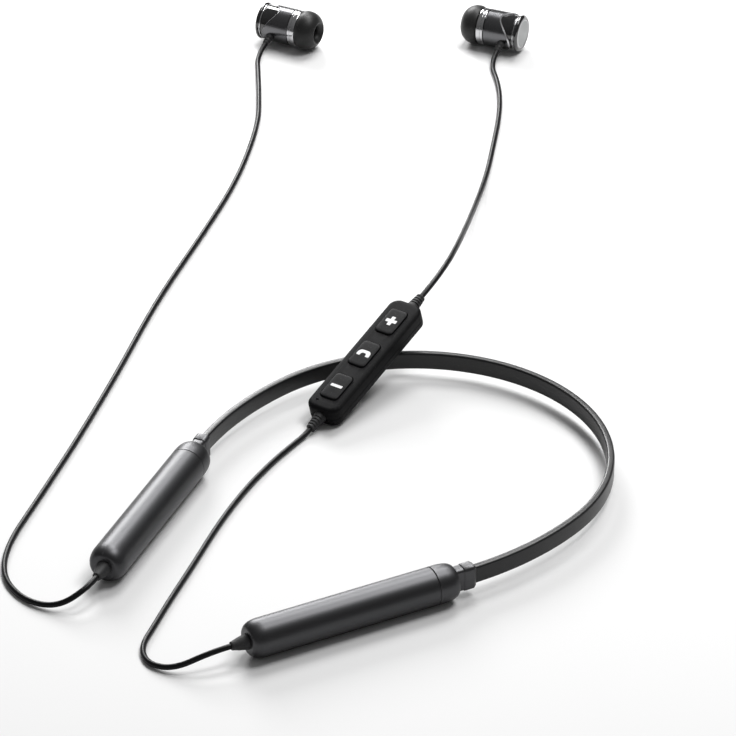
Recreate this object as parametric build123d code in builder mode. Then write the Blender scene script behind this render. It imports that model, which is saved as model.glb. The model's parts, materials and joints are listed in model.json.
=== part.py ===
from build123d import *
import math
import os

os.makedirs("parts", exist_ok=True)

# Neckband earphones: a springy neckband between two round pods, an in-line remote and two in-ear earbuds.
# Millimetres, +Z up. The origin is on the floor, at the centre of the band's crown arc. The crown's apex points
# to +Y and the open side to -Y. The wearer faces -Y, so the wearer's left is +X.

# ---------------------------------------------------------------- driving dimensions

POD_DIAMETER = 12.0
POD_WALL = 1.0
POD_SHELL_LENGTH = 62.3  # seam to rounded tip
POD_TIP_ROUND = 4.6
CAP_LENGTH = 7.3
CAP_STRAIGHT = 2.8  # full-diameter stretch of the cap next to the seam
CAP_MOUTH_RADIUS = 4.5
CAP_SPIGOT = 3.0
COLLAR_LENGTH = 4.7
COLLAR_WALL = 0.95

BAND_HEIGHT = 6.0
BAND_THICKNESS = 2.4
BAND_EDGE_ROUND = 0.9
CROWN_RADIUS = 61.0
CROWN_HALF_ANGLE = 85.0
SIDE_RADIUS = 103.0
SIDE_ANGLE = 25.0
WIRE_DIAMETER = 1.0
WIRE_LIFT = 1.3  # the wire's height above the band's middle
LEAD_DIAMETER = 0.6
LEAD_LIFTS = (-0.8, -1.6)

CORD_DIAMETER = 1.8
POD_GLAND_LENGTH = 5.4
POD_GLAND_ROOT_RADIUS = 2.5
POD_GLAND_TIP_RADIUS = 1.35

PORT_Z = 40.0  # the port's middle, along the pod from the band's end
PORT_LENGTH = 11.4
PORT_WIDTH = 4.6
RECEPTACLE_LENGTH = 8.94
RECEPTACLE_HEIGHT = 3.2
RECEPTACLE_DEPTH = 7.0
RECEPTACLE_WALL = 0.3
CHASSIS_START_Z = 16.0
CHASSIS_LENGTH = 44.0
BOARD_THICKNESS = 0.8
MAIN_BOARD_LENGTH = 42.0
MAIN_BOARD_WIDTH = 8.0
CELL_DIAMETER = 9.0
CELL_LENGTH = 37.0
CELL_BOARD_LENGTH = 9.0

REMOTE_LENGTH = 53.0
REMOTE_WIDTH = 12.0
REMOTE_THICKNESS = 7.2
REMOTE_CORNER = 3.6
REMOTE_WALL = 1.0
REMOTE_PARTING = -0.6
REMOTE_EDGE_ROUND = 1.5
REMOTE_GLAND_LENGTH = 6.0
REMOTE_GLAND_ROOT_RADIUS = 2.1
REMOTE_GLAND_TIP_RADIUS = 1.5
REMOTE_AZIMUTH = 97.0  # the way the remote points on the floor, from +X towards +Y
REMOTE_LEAN_ANGLE = 51.0  # where on the crown it leans, from +Y towards -X
REMOTE_LEAN_REACH = 37.0  # how far along the remote the crown's edge meets it
BUTTON_LENGTH = 11.0
BUTTON_WIDTH = 6.6
BUTTON_PITCH = 16.0
BUTTON_PROUD = 0.5
BUTTON_TRAVEL = 0.4
BUTTON_FLANGE = 0.6
SWITCH_HEIGHT = 1.5

BUD_DIAMETER = 13.4
BUD_SKIN = 0.55  # wall of the ring and the sleeve
BODY_WALL = 0.8
FRONT_RING_LENGTH = 2.7
SLEEVE_END = 11.6
SLEEVE_NOTCH = 3.0
BODY_END = 13.9
TRIM_LENGTH = 0.7
END_RING_LENGTH = 1.5
END_DISC_RADIUS = 5.3
END_DISC_THICKNESS = 0.6
NOZZLE_DIAMETER = 4.6
NOZZLE_BORE = 3.4
NOZZLE_LENGTH = 4.2
DRIVER_DIAMETER = 10.0
DRIVER_LENGTH = 3.6
TIP_DIAMETER = 14.4
TIP_FRONT = 6.4
TIP_WALL = 0.7
BUD_GLAND_Z = 9.9
BUD_GLAND_LENGTH = 3.6
BUD_GLAND_ROOT_RADIUS = 1.5
BUD_GLAND_TIP_RADIUS = 1.15
BUD_ROLL = 22.0  # how far below level an earbud's cord leaves it

FIT = 0.1  # clearance of parts that slide into each other
SHAFT_FIT = 0.05  # radial clearance of a shaft in its hole
NEAR = 0.15  # gap round a button and the port's cover

# ---------------------------------------------------------------- values worked out from them

POD_RADIUS = POD_DIAMETER / 2
POD_BORE = POD_RADIUS - POD_WALL
SEAM_Z = COLLAR_LENGTH + CAP_LENGTH
TIP_Z = SEAM_Z + POD_SHELL_LENGTH
CAP_WALL_Z = COLLAR_LENGTH + 1.6
CAP_BORE = POD_BORE - 0.75
COLLAR_TAIL_Z = CAP_WALL_Z + 1.0
BAND_TAIL_Z = COLLAR_TAIL_Z - 0.3
ANCHOR_Z = COLLAR_TAIL_Z + 0.6
ANCHOR_LENGTH = 2.6
LEAD_END_Z = SEAM_Z + CAP_SPIGOT + 0.2
MAIN_BOARD_Z = LEAD_END_Z + 0.3
BAND_TOP = POD_RADIUS + BAND_HEIGHT / 2
BUD_RADIUS = BUD_DIAMETER / 2
SLEEVE_BORE = BUD_RADIUS - BUD_SKIN
BODY_RADIUS = SLEEVE_BORE - SHAFT_FIT
TRIM_END = BODY_END + TRIM_LENGTH
BUD_END = TRIM_END + END_RING_LENGTH


def unit(angle):
    """The level direction at an angle from +X."""
    return Vector(math.cos(math.radians(angle)), math.sin(math.radians(angle)))


LEG_HEADING = -(CROWN_HALF_ANGLE + SIDE_ANGLE)
CROWN_END = unit(90 - CROWN_HALF_ANGLE) * CROWN_RADIUS
SIDE_CENTRE = CROWN_END - unit(90 - CROWN_HALF_ANGLE) * SIDE_RADIUS
BAND_END = SIDE_CENTRE + unit(90 + LEG_HEADING) * SIDE_RADIUS


def pod_plane(side):
    """A pod's own plane: +Z runs from the band's end to the pod's tip, +X is up. side is 1 left, -1 right."""
    heading = unit(LEG_HEADING)
    return Plane(
        origin=(side * BAND_END.X, BAND_END.Y, POD_RADIUS),
        x_dir=(0, 0, 1),
        z_dir=(side * heading.X, heading.Y, 0),
    )


def save(piece, label, plane=Plane.XY):
    """Moves a finished piece from its own plane to its place, labels it and writes its file."""
    placed = piece.moved(plane.location)
    placed.label = label
    export_step(placed, f"parts/{label}.step")
    return placed


# ---------------------------------------------------------------- neckband


def band_line(tail, lift):
    """The band's centreline from inside the left cap, round the crown, to inside the right cap."""
    heading = unit(LEG_HEADING)
    start = BAND_END + heading * tail
    with BuildLine(Plane.XY.offset(POD_RADIUS + lift)) as line:
        left_tail = Line((start.X, start.Y), (BAND_END.X, BAND_END.Y))
        left_side = JernArc(left_tail @ 1, left_tail % 1, SIDE_RADIUS, SIDE_ANGLE)
        crown = JernArc(left_side @ 1, left_side % 1, CROWN_RADIUS, 2 * CROWN_HALF_ANGLE)
        right_side = JernArc(crown @ 1, crown % 1, SIDE_RADIUS, SIDE_ANGLE)
        Line(right_side @ 1, (-start.X, start.Y))
    return line.line


def neckband_sleeve():
    """The moulded band, with a round channel for the wire and a tall one for the two leads."""
    path = band_line(BAND_TAIL_Z, 0)
    lead_middle = sum(LEAD_LIFTS) / len(LEAD_LIFTS)
    lead_span = max(LEAD_LIFTS) - min(LEAD_LIFTS) + LEAD_DIAMETER
    with BuildPart() as band:
        with BuildSketch(Plane(origin=path @ 0, x_dir=(0, 0, 1), z_dir=path % 0)):
            RectangleRounded(BAND_HEIGHT, BAND_THICKNESS, BAND_EDGE_ROUND)
            with Locations((WIRE_LIFT, 0)):
                Circle(WIRE_DIAMETER / 2 + SHAFT_FIT, mode=Mode.SUBTRACT)
            with Locations((lead_middle, 0)):
                SlotOverall(lead_span + 2 * FIT, LEAD_DIAMETER + 2 * FIT, mode=Mode.SUBTRACT)
        sweep(path=path)
    return band.part


def rod_along_band(diameter, tail, lift):
    """A round wire that follows the band."""
    path = band_line(tail, lift)
    with BuildPart() as rod:
        with BuildSketch(Plane(origin=path @ 0, z_dir=path % 0)):
            Circle(diameter / 2)
        sweep(path=path)
    return rod.part


save(neckband_sleeve(), "neckband_sleeve")
save(rod_along_band(WIRE_DIAMETER, ANCHOR_Z + ANCHOR_LENGTH - 0.2, WIRE_LIFT), "memory_wire")
save(
    Compound(children=[rod_along_band(LEAD_DIAMETER, LEAD_END_Z, lift) for lift in LEAD_LIFTS]),
    "band_leads",
)

# ---------------------------------------------------------------- pods


def pod_shell(has_port):
    """The drawn tube with its rounded tip, open at the seam."""
    with BuildPart() as shell:
        with BuildSketch(Plane.XY.offset(SEAM_Z)):
            Circle(POD_RADIUS)
        extrude(amount=POD_SHELL_LENGTH)
        fillet(shell.edges().sort_by(Axis.Z)[-1], POD_TIP_ROUND)
        offset(amount=-POD_WALL, openings=shell.faces().sort_by(Axis.Z)[0])
        chamfer(shell.faces().sort_by(Axis.Z)[0].outer_wire().edges(), 0.2)
        with BuildSketch(Plane.XY.offset(TIP_Z)):
            Circle(POD_GLAND_TIP_RADIUS + SHAFT_FIT)
        extrude(amount=-2 * POD_WALL, mode=Mode.SUBTRACT)
        if has_port:
            with BuildSketch(PORT_PLANE):
                SlotOverall(PORT_LENGTH, PORT_WIDTH)
            extrude(amount=POD_DIAMETER, mode=Mode.SUBTRACT)
    return shell.part


def pod_cap():
    """The domed cap: its spigot plugs the shell and its mouth holds the collar."""
    with BuildPart() as cap:
        with BuildSketch(Plane.XZ):
            with BuildLine():
                Polyline((0, CAP_WALL_Z), (0, COLLAR_LENGTH), (CAP_MOUTH_RADIUS, COLLAR_LENGTH))
                Bezier(
                    (CAP_MOUTH_RADIUS, COLLAR_LENGTH),
                    (POD_RADIUS - 0.3, COLLAR_LENGTH + 0.3),
                    (POD_RADIUS, COLLAR_LENGTH + 2.0),
                    (POD_RADIUS, SEAM_Z - CAP_STRAIGHT),
                )
                Polyline(
                    (POD_RADIUS, SEAM_Z - CAP_STRAIGHT),
                    (POD_RADIUS, SEAM_Z - 0.2),
                    (POD_RADIUS - 0.2, SEAM_Z),
                    (POD_BORE - SHAFT_FIT, SEAM_Z),
                    (POD_BORE - SHAFT_FIT, SEAM_Z + CAP_SPIGOT),
                    (CAP_BORE, SEAM_Z + CAP_SPIGOT),
                    (CAP_BORE, CAP_WALL_Z),
                    (0, CAP_WALL_Z),
                )
            make_face()
        revolve(axis=Axis.Z)
        with BuildSketch(Plane.XY.offset(COLLAR_LENGTH)):
            collar_outline()
        extrude(amount=CAP_WALL_Z - COLLAR_LENGTH, mode=Mode.SUBTRACT)
    return cap.part


def collar_outline():
    """The collar's section, round the band's."""
    RectangleRounded(
        BAND_HEIGHT + 2 * (COLLAR_WALL + FIT),
        BAND_THICKNESS + 2 * (COLLAR_WALL + FIT),
        BAND_EDGE_ROUND + 0.6,
    )


def pod_collar():
    """The short sleeve that grips the band's end and passes through the cap's mouth."""
    with BuildPart() as collar:
        with BuildSketch(Plane.XY):
            collar_outline()
        extrude(amount=COLLAR_TAIL_Z)
        fillet(collar.faces().sort_by(Axis.Z)[0].edges(), 0.4)
        with BuildSketch(Plane.XY):
            RectangleRounded(BAND_HEIGHT + 2 * FIT, BAND_THICKNESS + 2 * FIT, BAND_EDGE_ROUND)
        extrude(amount=COLLAR_TAIL_Z, mode=Mode.SUBTRACT)
    return collar.part


def wire_anchor():
    """The disc inside the cap that the memory wire's end is held in, with a slot for the leads."""
    with BuildPart() as anchor:
        with BuildSketch(Plane.XY.offset(ANCHOR_Z)):
            Circle(CAP_BORE - SHAFT_FIT)
            with Locations((WIRE_LIFT, 0)):
                Circle(WIRE_DIAMETER / 2 + SHAFT_FIT, mode=Mode.SUBTRACT)
            with Locations((sum(LEAD_LIFTS) / 2, 0)):
                SlotOverall(2.0, LEAD_DIAMETER + 2 * FIT, mode=Mode.SUBTRACT)
        extrude(amount=ANCHOR_LENGTH)
    return anchor.part


def tapered_gland(root_radius, tip_radius, length, neck_radius, neck, flange_radius, flange):
    """A cord gland on +Z: the taper stands outside, the neck passes the wall, the flange stays inside."""
    with BuildPart() as gland:
        with BuildSketch(Plane.XZ):
            with BuildLine():
                Polyline(
                    (0, length),
                    (tip_radius, length),
                    (root_radius, 0.6),
                    (root_radius, 0),
                    (neck_radius, 0),
                    (neck_radius, -neck),
                    (flange_radius, -neck),
                    (flange_radius, -neck - flange),
                    (0, -neck - flange),
                    close=True,
                )
            make_face()
        revolve(axis=Axis.Z)
    return gland.part


PORT_PLANE = Plane(origin=(0, 0, PORT_Z), x_dir=(0, 0, 1), z_dir=(0, 1, 0))

for side_name, side in (("left", 1), ("right", -1)):
    plane = pod_plane(side)
    pod_gland = tapered_gland(
        POD_GLAND_ROOT_RADIUS,
        POD_GLAND_TIP_RADIUS,
        POD_GLAND_LENGTH,
        POD_GLAND_TIP_RADIUS,
        POD_WALL + FIT,
        POD_GLAND_ROOT_RADIUS - 0.3,
        1.0,
    )
    save(pod_shell(has_port=side == 1), f"{side_name}_pod_shell", plane)
    save(pod_cap(), f"{side_name}_pod_cap", plane)
    save(pod_collar(), f"{side_name}_collar", plane)
    save(wire_anchor(), f"{side_name}_wire_anchor", plane)
    save(pod_gland.moved(Location((0, 0, TIP_Z))), f"{side_name}_pod_gland", plane)

# ---------------------------------------------------------------- left pod: board, port and port cover

BOARD_TOP = -RECEPTACLE_HEIGHT / 2
BOARD_BOTTOM = BOARD_TOP - BOARD_THICKNESS
MOUTH_Y = POD_BORE - FIT


def left_chassis():
    """The tray under the main board, with pockets between its ribs."""
    pocket = 8.0
    with BuildPart() as tray:
        with BuildSketch(Plane.XY.offset(CHASSIS_START_Z)):
            Circle(POD_BORE - FIT)
            with Locations((BOARD_BOTTOM, 0)):
                Rectangle(POD_DIAMETER, POD_DIAMETER, align=(Align.MIN, Align.CENTER), mode=Mode.SUBTRACT)
        extrude(amount=CHASSIS_LENGTH)
        with BuildSketch(Plane.YZ.offset(BOARD_BOTTOM)):
            with Locations((0, CHASSIS_START_Z + CHASSIS_LENGTH / 2)):
                with GridLocations(0, pocket + 2.0, 1, 4):
                    RectangleRounded(4.6, pocket, 0.8)
        extrude(amount=-1.6, mode=Mode.SUBTRACT)
    return tray.part


def main_board():
    """The circuit board, with rounded corners and a notch for the leads."""
    with BuildPart() as board:
        with BuildSketch(Plane.YZ.offset(BOARD_BOTTOM)):
            with Locations((0, MAIN_BOARD_Z + MAIN_BOARD_LENGTH / 2)):
                RectangleRounded(MAIN_BOARD_WIDTH, MAIN_BOARD_LENGTH, 0.8)
        extrude(amount=BOARD_THICKNESS)
    return board.part


def board_chips():
    """The packages soldered on the board: width, length, height and place along the pod."""
    chips = ((5.0, 5.0, 0.9, 21.0), (3.0, 3.0, 0.8, 27.0), (2.0, 2.5, 0.7, 31.5), (4.0, 3.0, 1.0, 49.0), (6.0, 2.0, 0.8, 54.0))
    with BuildPart() as group:
        for width, length, height, place in chips:
            with BuildSketch(Plane.YZ.offset(BOARD_TOP)):
                with Locations((0, place)):
                    Rectangle(width, length)
            extrude(amount=height)
    return group.part


def usb_receptacle():
    """The port's metal shell, open towards the pod's inner side."""
    with BuildPart() as receptacle:
        with BuildSketch(PORT_PLANE.offset(MOUTH_Y - RECEPTACLE_DEPTH)):
            SlotOverall(RECEPTACLE_LENGTH, RECEPTACLE_HEIGHT)
        extrude(amount=RECEPTACLE_DEPTH)
        with BuildSketch(PORT_PLANE.offset(MOUTH_Y)):
            SlotOverall(RECEPTACLE_LENGTH - 2 * RECEPTACLE_WALL, RECEPTACLE_HEIGHT - 2 * RECEPTACLE_WALL)
        extrude(amount=-(RECEPTACLE_DEPTH - 0.8), mode=Mode.SUBTRACT)
    return receptacle.part


def usb_tongue():
    """The contact tongue, fixed to the receptacle's back wall."""
    with BuildPart() as tongue:
        with BuildSketch(PORT_PLANE.offset(MOUTH_Y - RECEPTACLE_DEPTH + 0.8)):
            Rectangle(6.7, 0.7)
        extrude(amount=4.8)
        fillet(tongue.edges().filter_by(Axis.X), 0.3)
    return tongue.part


def port_cover():
    """The rubber cover: its outside follows the pod, and it fills the opening but for a small gap."""
    with BuildPart() as cover:
        with BuildSketch(Plane.XY.offset(PORT_Z - PORT_LENGTH / 2)):
            Circle(POD_RADIUS)
            Circle(POD_BORE + NEAR, mode=Mode.SUBTRACT)
        extrude(amount=PORT_LENGTH)
        with BuildSketch(PORT_PLANE):
            SlotOverall(PORT_LENGTH - 2 * NEAR, PORT_WIDTH - 2 * NEAR)
        extrude(amount=POD_DIAMETER, mode=Mode.INTERSECT)
    return cover.part


LEFT_POD = pod_plane(1)
save(left_chassis(), "left_chassis", LEFT_POD)
save(main_board(), "main_board", LEFT_POD)
save(board_chips(), "board_chips", LEFT_POD)
save(usb_receptacle(), "usb_receptacle", LEFT_POD)
save(usb_tongue(), "usb_tongue", LEFT_POD)
save(port_cover(), "port_cover", LEFT_POD)

# ---------------------------------------------------------------- right pod: battery

CELL_Z = MAIN_BOARD_Z + CELL_BOARD_LENGTH + 0.5
CELL_BOARD_BOTTOM = -0.9


def right_chassis():
    """The cradle under the battery, with a shelf for its board."""
    with BuildPart() as cradle:
        with BuildSketch(Plane.XY.offset(CHASSIS_START_Z)):
            Circle(POD_BORE - FIT)
            with Locations((CELL_BOARD_BOTTOM, 0)):
                Rectangle(POD_DIAMETER, POD_DIAMETER, align=(Align.MIN, Align.CENTER), mode=Mode.SUBTRACT)
        extrude(amount=CELL_Z + CELL_LENGTH - CHASSIS_START_Z)
        with BuildSketch(Plane.XY.offset(CELL_Z)):
            Circle(CELL_DIAMETER / 2 + SHAFT_FIT)
        extrude(amount=CELL_LENGTH, mode=Mode.SUBTRACT)
        with BuildSketch(Plane.YZ.offset(CELL_BOARD_BOTTOM)):
            with Locations((0, MAIN_BOARD_Z + CELL_BOARD_LENGTH / 2)):
                Rectangle(5.0, 6.0)
        extrude(amount=-2.8, mode=Mode.SUBTRACT)
    return cradle.part


def battery_cell():
    """The round cell, with rounded rims."""
    with BuildPart() as cell:
        with BuildSketch(Plane.XY.offset(CELL_Z)):
            Circle(CELL_DIAMETER / 2)
        extrude(amount=CELL_LENGTH)
        fillet(cell.edges(), 0.5)
    return cell.part


def battery_board():
    """The cell's protection board."""
    with BuildPart() as board:
        with BuildSketch(Plane.YZ.offset(CELL_BOARD_BOTTOM)):
            with Locations((0, MAIN_BOARD_Z + CELL_BOARD_LENGTH / 2)):
                Rectangle(MAIN_BOARD_WIDTH, CELL_BOARD_LENGTH)
        extrude(amount=BOARD_THICKNESS)
    return board.part


def battery_tabs():
    """The two strips that join the cell to its board."""
    reach = CELL_Z - (MAIN_BOARD_Z + CELL_BOARD_LENGTH - 2.0)
    with BuildPart() as tabs:
        with BuildSketch(Plane.YZ.offset(CELL_BOARD_BOTTOM + BOARD_THICKNESS)):
            with Locations((-2.0, CELL_Z - reach / 2), (2.0, CELL_Z - reach / 2)):
                Rectangle(1.6, reach)
        extrude(amount=0.2)
    return tabs.part


RIGHT_POD = pod_plane(-1)
save(right_chassis(), "right_chassis", RIGHT_POD)
save(battery_cell(), "battery_cell", RIGHT_POD)
save(battery_board(), "battery_board", RIGHT_POD)
save(battery_tabs(), "battery_tabs", RIGHT_POD)

# ---------------------------------------------------------------- remote


def remote_tilt():
    """The lean of the remote: its lower end stands on the floor and its back meets the crown's top edge."""
    half = REMOTE_THICKNESS / 2
    skew = math.radians(abs(90 + REMOTE_LEAN_ANGLE - REMOTE_AZIMUTH))
    reach = REMOTE_LEAN_REACH - (REMOTE_WIDTH / 2 - REMOTE_EDGE_ROUND) * math.tan(skew)
    low, high = 0.0, 45.0
    for _ in range(40):
        tilt = math.radians((low + high) / 2)
        back = half * math.cos(tilt) + reach * math.sin(tilt) - half / math.cos(tilt)
        if back < BAND_TOP:
            low = math.degrees(tilt)
        else:
            high = math.degrees(tilt)
    return math.radians(high)


def remote_plane():
    """The remote's own plane: +Y runs from its lower end to its upper end, +Z is its face."""
    tilt = remote_tilt()
    heading = unit(REMOTE_AZIMUTH)
    along = Vector(heading.X * math.cos(tilt), heading.Y * math.cos(tilt), math.sin(tilt))
    across = unit(REMOTE_AZIMUTH - 90)
    lean = unit(90 + REMOTE_LEAN_ANGLE) * (CROWN_RADIUS - BAND_THICKNESS / 2)
    foot = lean - heading * (REMOTE_LEAN_REACH * math.cos(tilt))
    height = REMOTE_THICKNESS / 2 * math.cos(tilt) + FIT
    return Plane(origin=(foot.X, foot.Y, height), x_dir=across, z_dir=across.cross(along))


REMOTE = remote_plane()
REMOTE_FRONT = REMOTE_THICKNESS / 2
REMOTE_CORE_WIDTH = REMOTE_WIDTH - 2 * REMOTE_WALL
REMOTE_CORE_LENGTH = REMOTE_LENGTH - 2 * REMOTE_WALL
REMOTE_CORE_FRONT = REMOTE_FRONT - REMOTE_WALL
REMOTE_BOARD_TOP = REMOTE_PARTING
REMOTE_BOARD_LENGTH = REMOTE_CORE_LENGTH - 2.4
PLUNGER_TOP = REMOTE_BOARD_TOP + SWITCH_HEIGHT + 0.35
MIC_PLACE = (-2.8, 3.3)
BUTTON_PLACES = [(0, REMOTE_LENGTH / 2 + step * BUTTON_PITCH) for step in (-1, 0, 1)]
REMOTE_MIDDLE = (0, REMOTE_LENGTH / 2)


def remote_half(start, height, sort_end):
    """A hollow half of the remote's case, from the parting plane outwards."""
    with BuildPart() as half:
        with BuildSketch(Plane.XY.offset(start)):
            with Locations(REMOTE_MIDDLE):
                RectangleRounded(REMOTE_WIDTH, REMOTE_LENGTH, REMOTE_CORNER)
        extrude(amount=height)
        fillet(half.faces().sort_by(Axis.Z)[sort_end].edges(), REMOTE_EDGE_ROUND)
        with BuildSketch(Plane.XY.offset(start)):
            with Locations(REMOTE_MIDDLE):
                RectangleRounded(REMOTE_CORE_WIDTH, REMOTE_CORE_LENGTH, REMOTE_CORNER - REMOTE_WALL)
        extrude(amount=height - math.copysign(REMOTE_WALL, height), mode=Mode.SUBTRACT)
        for place in (0, REMOTE_LENGTH):
            with BuildSketch(Plane.XZ.offset(-place)):
                Circle(REMOTE_GLAND_TIP_RADIUS + SHAFT_FIT)
            extrude(amount=2 * REMOTE_WALL, both=True, mode=Mode.SUBTRACT)
    return half


def remote_front_shell():
    """The face half, with the three button openings and the microphone's hole."""
    with BuildPart() as shell:
        add(remote_half(REMOTE_PARTING, REMOTE_FRONT - REMOTE_PARTING, -1).part)
        with BuildSketch(Plane.XY.offset(REMOTE_CORE_FRONT)):
            with Locations(*BUTTON_PLACES):
                SlotOverall(BUTTON_LENGTH + 2 * NEAR, BUTTON_WIDTH + 2 * NEAR, rotation=90)
            with Locations(MIC_PLACE):
                Circle(0.4)
        extrude(amount=2 * REMOTE_WALL, mode=Mode.SUBTRACT)
    return shell.part


def remote_back_shell():
    """The back half, with ribs that carry the board."""
    rib = REMOTE_FRONT - REMOTE_WALL + REMOTE_BOARD_TOP - BOARD_THICKNESS
    with BuildPart() as shell:
        add(remote_half(REMOTE_PARTING, -REMOTE_FRONT - REMOTE_PARTING, 0).part)
        with BuildSketch(Plane.XY.offset(-REMOTE_CORE_FRONT)):
            with Locations(REMOTE_MIDDLE):
                with GridLocations(0, 11.0, 1, 4):
                    Rectangle(REMOTE_CORE_WIDTH, 1.0)
        extrude(amount=rib)
    return shell.part


def remote_button():
    """A button: a domed stadium through the face, on a flange that stays under it."""
    flange_top = REMOTE_CORE_FRONT - FIT
    stem_bottom = PLUNGER_TOP + BUTTON_TRAVEL + 0.05
    with BuildPart() as button:
        with BuildSketch(Plane.XY.offset(stem_bottom)):
            SlotOverall(BUTTON_LENGTH, BUTTON_WIDTH, rotation=90)
        extrude(amount=REMOTE_FRONT + BUTTON_PROUD - stem_bottom)
        fillet(button.faces().sort_by(Axis.Z)[-1].edges(), 0.45)
        with BuildSketch(Plane.XY.offset(stem_bottom)):
            SlotOverall(BUTTON_LENGTH + 2 * BUTTON_FLANGE, BUTTON_WIDTH + 2 * BUTTON_FLANGE, rotation=90)
        extrude(amount=flange_top - stem_bottom)
    return button.part


def remote_board():
    """The remote's circuit board, on the back shell's ribs."""
    with BuildPart() as board:
        with BuildSketch(Plane.XY.offset(REMOTE_BOARD_TOP - BOARD_THICKNESS)):
            with Locations(REMOTE_MIDDLE):
                RectangleRounded(REMOTE_CORE_WIDTH - 2 * FIT, REMOTE_BOARD_LENGTH, 2.0)
        extrude(amount=BOARD_THICKNESS)
    return board.part


def tact_switches():
    """The three switches under the buttons, each a square can and a round plunger."""
    with BuildPart() as switches:
        with BuildSketch(Plane.XY.offset(REMOTE_BOARD_TOP)):
            with Locations(*BUTTON_PLACES):
                RectangleRounded(3.2, 4.2, 0.3)
        extrude(amount=SWITCH_HEIGHT)
        with BuildSketch(Plane.XY.offset(REMOTE_BOARD_TOP + SWITCH_HEIGHT)):
            with Locations(*BUTTON_PLACES):
                Circle(0.9)
        extrude(amount=PLUNGER_TOP - REMOTE_BOARD_TOP - SWITCH_HEIGHT)
    return switches.part


def microphone():
    """The microphone capsule under its hole."""
    with BuildPart() as capsule:
        with BuildSketch(Plane.XY.offset(REMOTE_BOARD_TOP)):
            with Locations(MIC_PLACE):
                Circle(0.9)
        extrude(amount=REMOTE_CORE_FRONT - REMOTE_BOARD_TOP - FIT)
    return capsule.part


save(remote_front_shell(), "remote_front_shell", REMOTE)
save(remote_back_shell(), "remote_back_shell", REMOTE)
save(remote_board(), "remote_board", REMOTE)
save(tact_switches(), "tact_switches", REMOTE)
save(microphone(), "remote_microphone", REMOTE)
for label, place in zip(("volume_down_button", "call_button", "volume_up_button"), BUTTON_PLACES):
    save(remote_button().moved(Location((place[0], place[1], 0))), label, REMOTE)

REMOTE_ENDS = {
    "remote_lower_gland": Plane(origin=(0, 0, 0), x_dir=(1, 0, 0), z_dir=(0, -1, 0)),
    "remote_upper_gland": Plane(origin=(0, REMOTE_LENGTH, 0), x_dir=(1, 0, 0), z_dir=(0, 1, 0)),
}
for label, end in REMOTE_ENDS.items():
    remote_gland = tapered_gland(
        REMOTE_GLAND_ROOT_RADIUS,
        REMOTE_GLAND_TIP_RADIUS,
        REMOTE_GLAND_LENGTH,
        REMOTE_GLAND_TIP_RADIUS,
        REMOTE_WALL,
        REMOTE_GLAND_ROOT_RADIUS - 0.2,
        0.8,
    )
    save(remote_gland.moved(end.location), label, REMOTE)

# ---------------------------------------------------------------- earbuds


def earbud_plane(x, y, azimuth, gland_turn):
    """An earbud's own plane: +Z points to the ear tip and -Y the way its cord leaves. It lies on its tip's rim."""
    axis = unit(azimuth)
    level = unit(azimuth + gland_turn)
    roll = math.radians(BUD_ROLL)
    up = Vector(-level.X * math.cos(roll), -level.Y * math.cos(roll), math.sin(roll))
    return Plane(origin=(x, y, TIP_DIAMETER / 2), x_dir=up.cross(axis), z_dir=axis)


def tube(outer, inner, start, end):
    """A plain tube on Z between two heights."""
    with BuildPart() as ring:
        with BuildSketch(Plane.XY.offset(start)):
            Circle(outer)
            Circle(inner, mode=Mode.SUBTRACT)
        extrude(amount=end - start)
    return ring


def cord_hole():
    """The hole that an earbud's gland passes through, as a cutter."""
    with BuildPart() as cutter:
        with BuildSketch(Plane(origin=(0, 0, -BUD_GLAND_Z), x_dir=(1, 0, 0), z_dir=(0, -1, 0))):
            Circle(BUD_GLAND_TIP_RADIUS + SHAFT_FIT)
        extrude(amount=2 * BUD_RADIUS)
    return cutter.part


def front_ring():
    """The polished ring behind the ear tip."""
    with BuildPart() as ring:
        add(tube(BUD_RADIUS, SLEEVE_BORE, -FRONT_RING_LENGTH, 0).part)
        outer = ring.edges().filter_by(GeomType.CIRCLE).group_by(SortBy.RADIUS)[-1]
        fillet(outer.sort_by(Axis.Z)[-1], 0.5)
        chamfer(outer.sort_by(Axis.Z)[0], 0.12)
    return ring.part


def front_housing():
    """The driver's front cover and the nozzle."""
    with BuildPart() as housing:
        with BuildSketch(Plane.XY.offset(-FRONT_RING_LENGTH)):
            Circle(SLEEVE_BORE - SHAFT_FIT)
        extrude(amount=FRONT_RING_LENGTH)
        with BuildSketch(Plane.XY):
            Circle(NOZZLE_DIAMETER / 2)
        extrude(amount=NOZZLE_LENGTH)
        chamfer(housing.edges().sort_by(Axis.Z)[-1], 0.2)
        with BuildSketch(Plane.XY.offset(NOZZLE_LENGTH)):
            Circle(NOZZLE_BORE / 2)
        extrude(amount=-(NOZZLE_LENGTH + FRONT_RING_LENGTH), mode=Mode.SUBTRACT)
        with BuildSketch(Plane.XY.offset(-FRONT_RING_LENGTH)):
            Circle(DRIVER_DIAMETER / 2 - 0.6)
        extrude(amount=FRONT_RING_LENGTH - 1.0, mode=Mode.SUBTRACT)
    return housing.part


def nozzle_mesh():
    """The woven disc in the nozzle's mouth."""
    with BuildPart() as disc:
        with BuildSketch(Plane.XY.offset(NOZZLE_LENGTH - 0.5)):
            Circle(NOZZLE_BORE / 2)
        extrude(amount=-0.3)
    return disc.part


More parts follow.
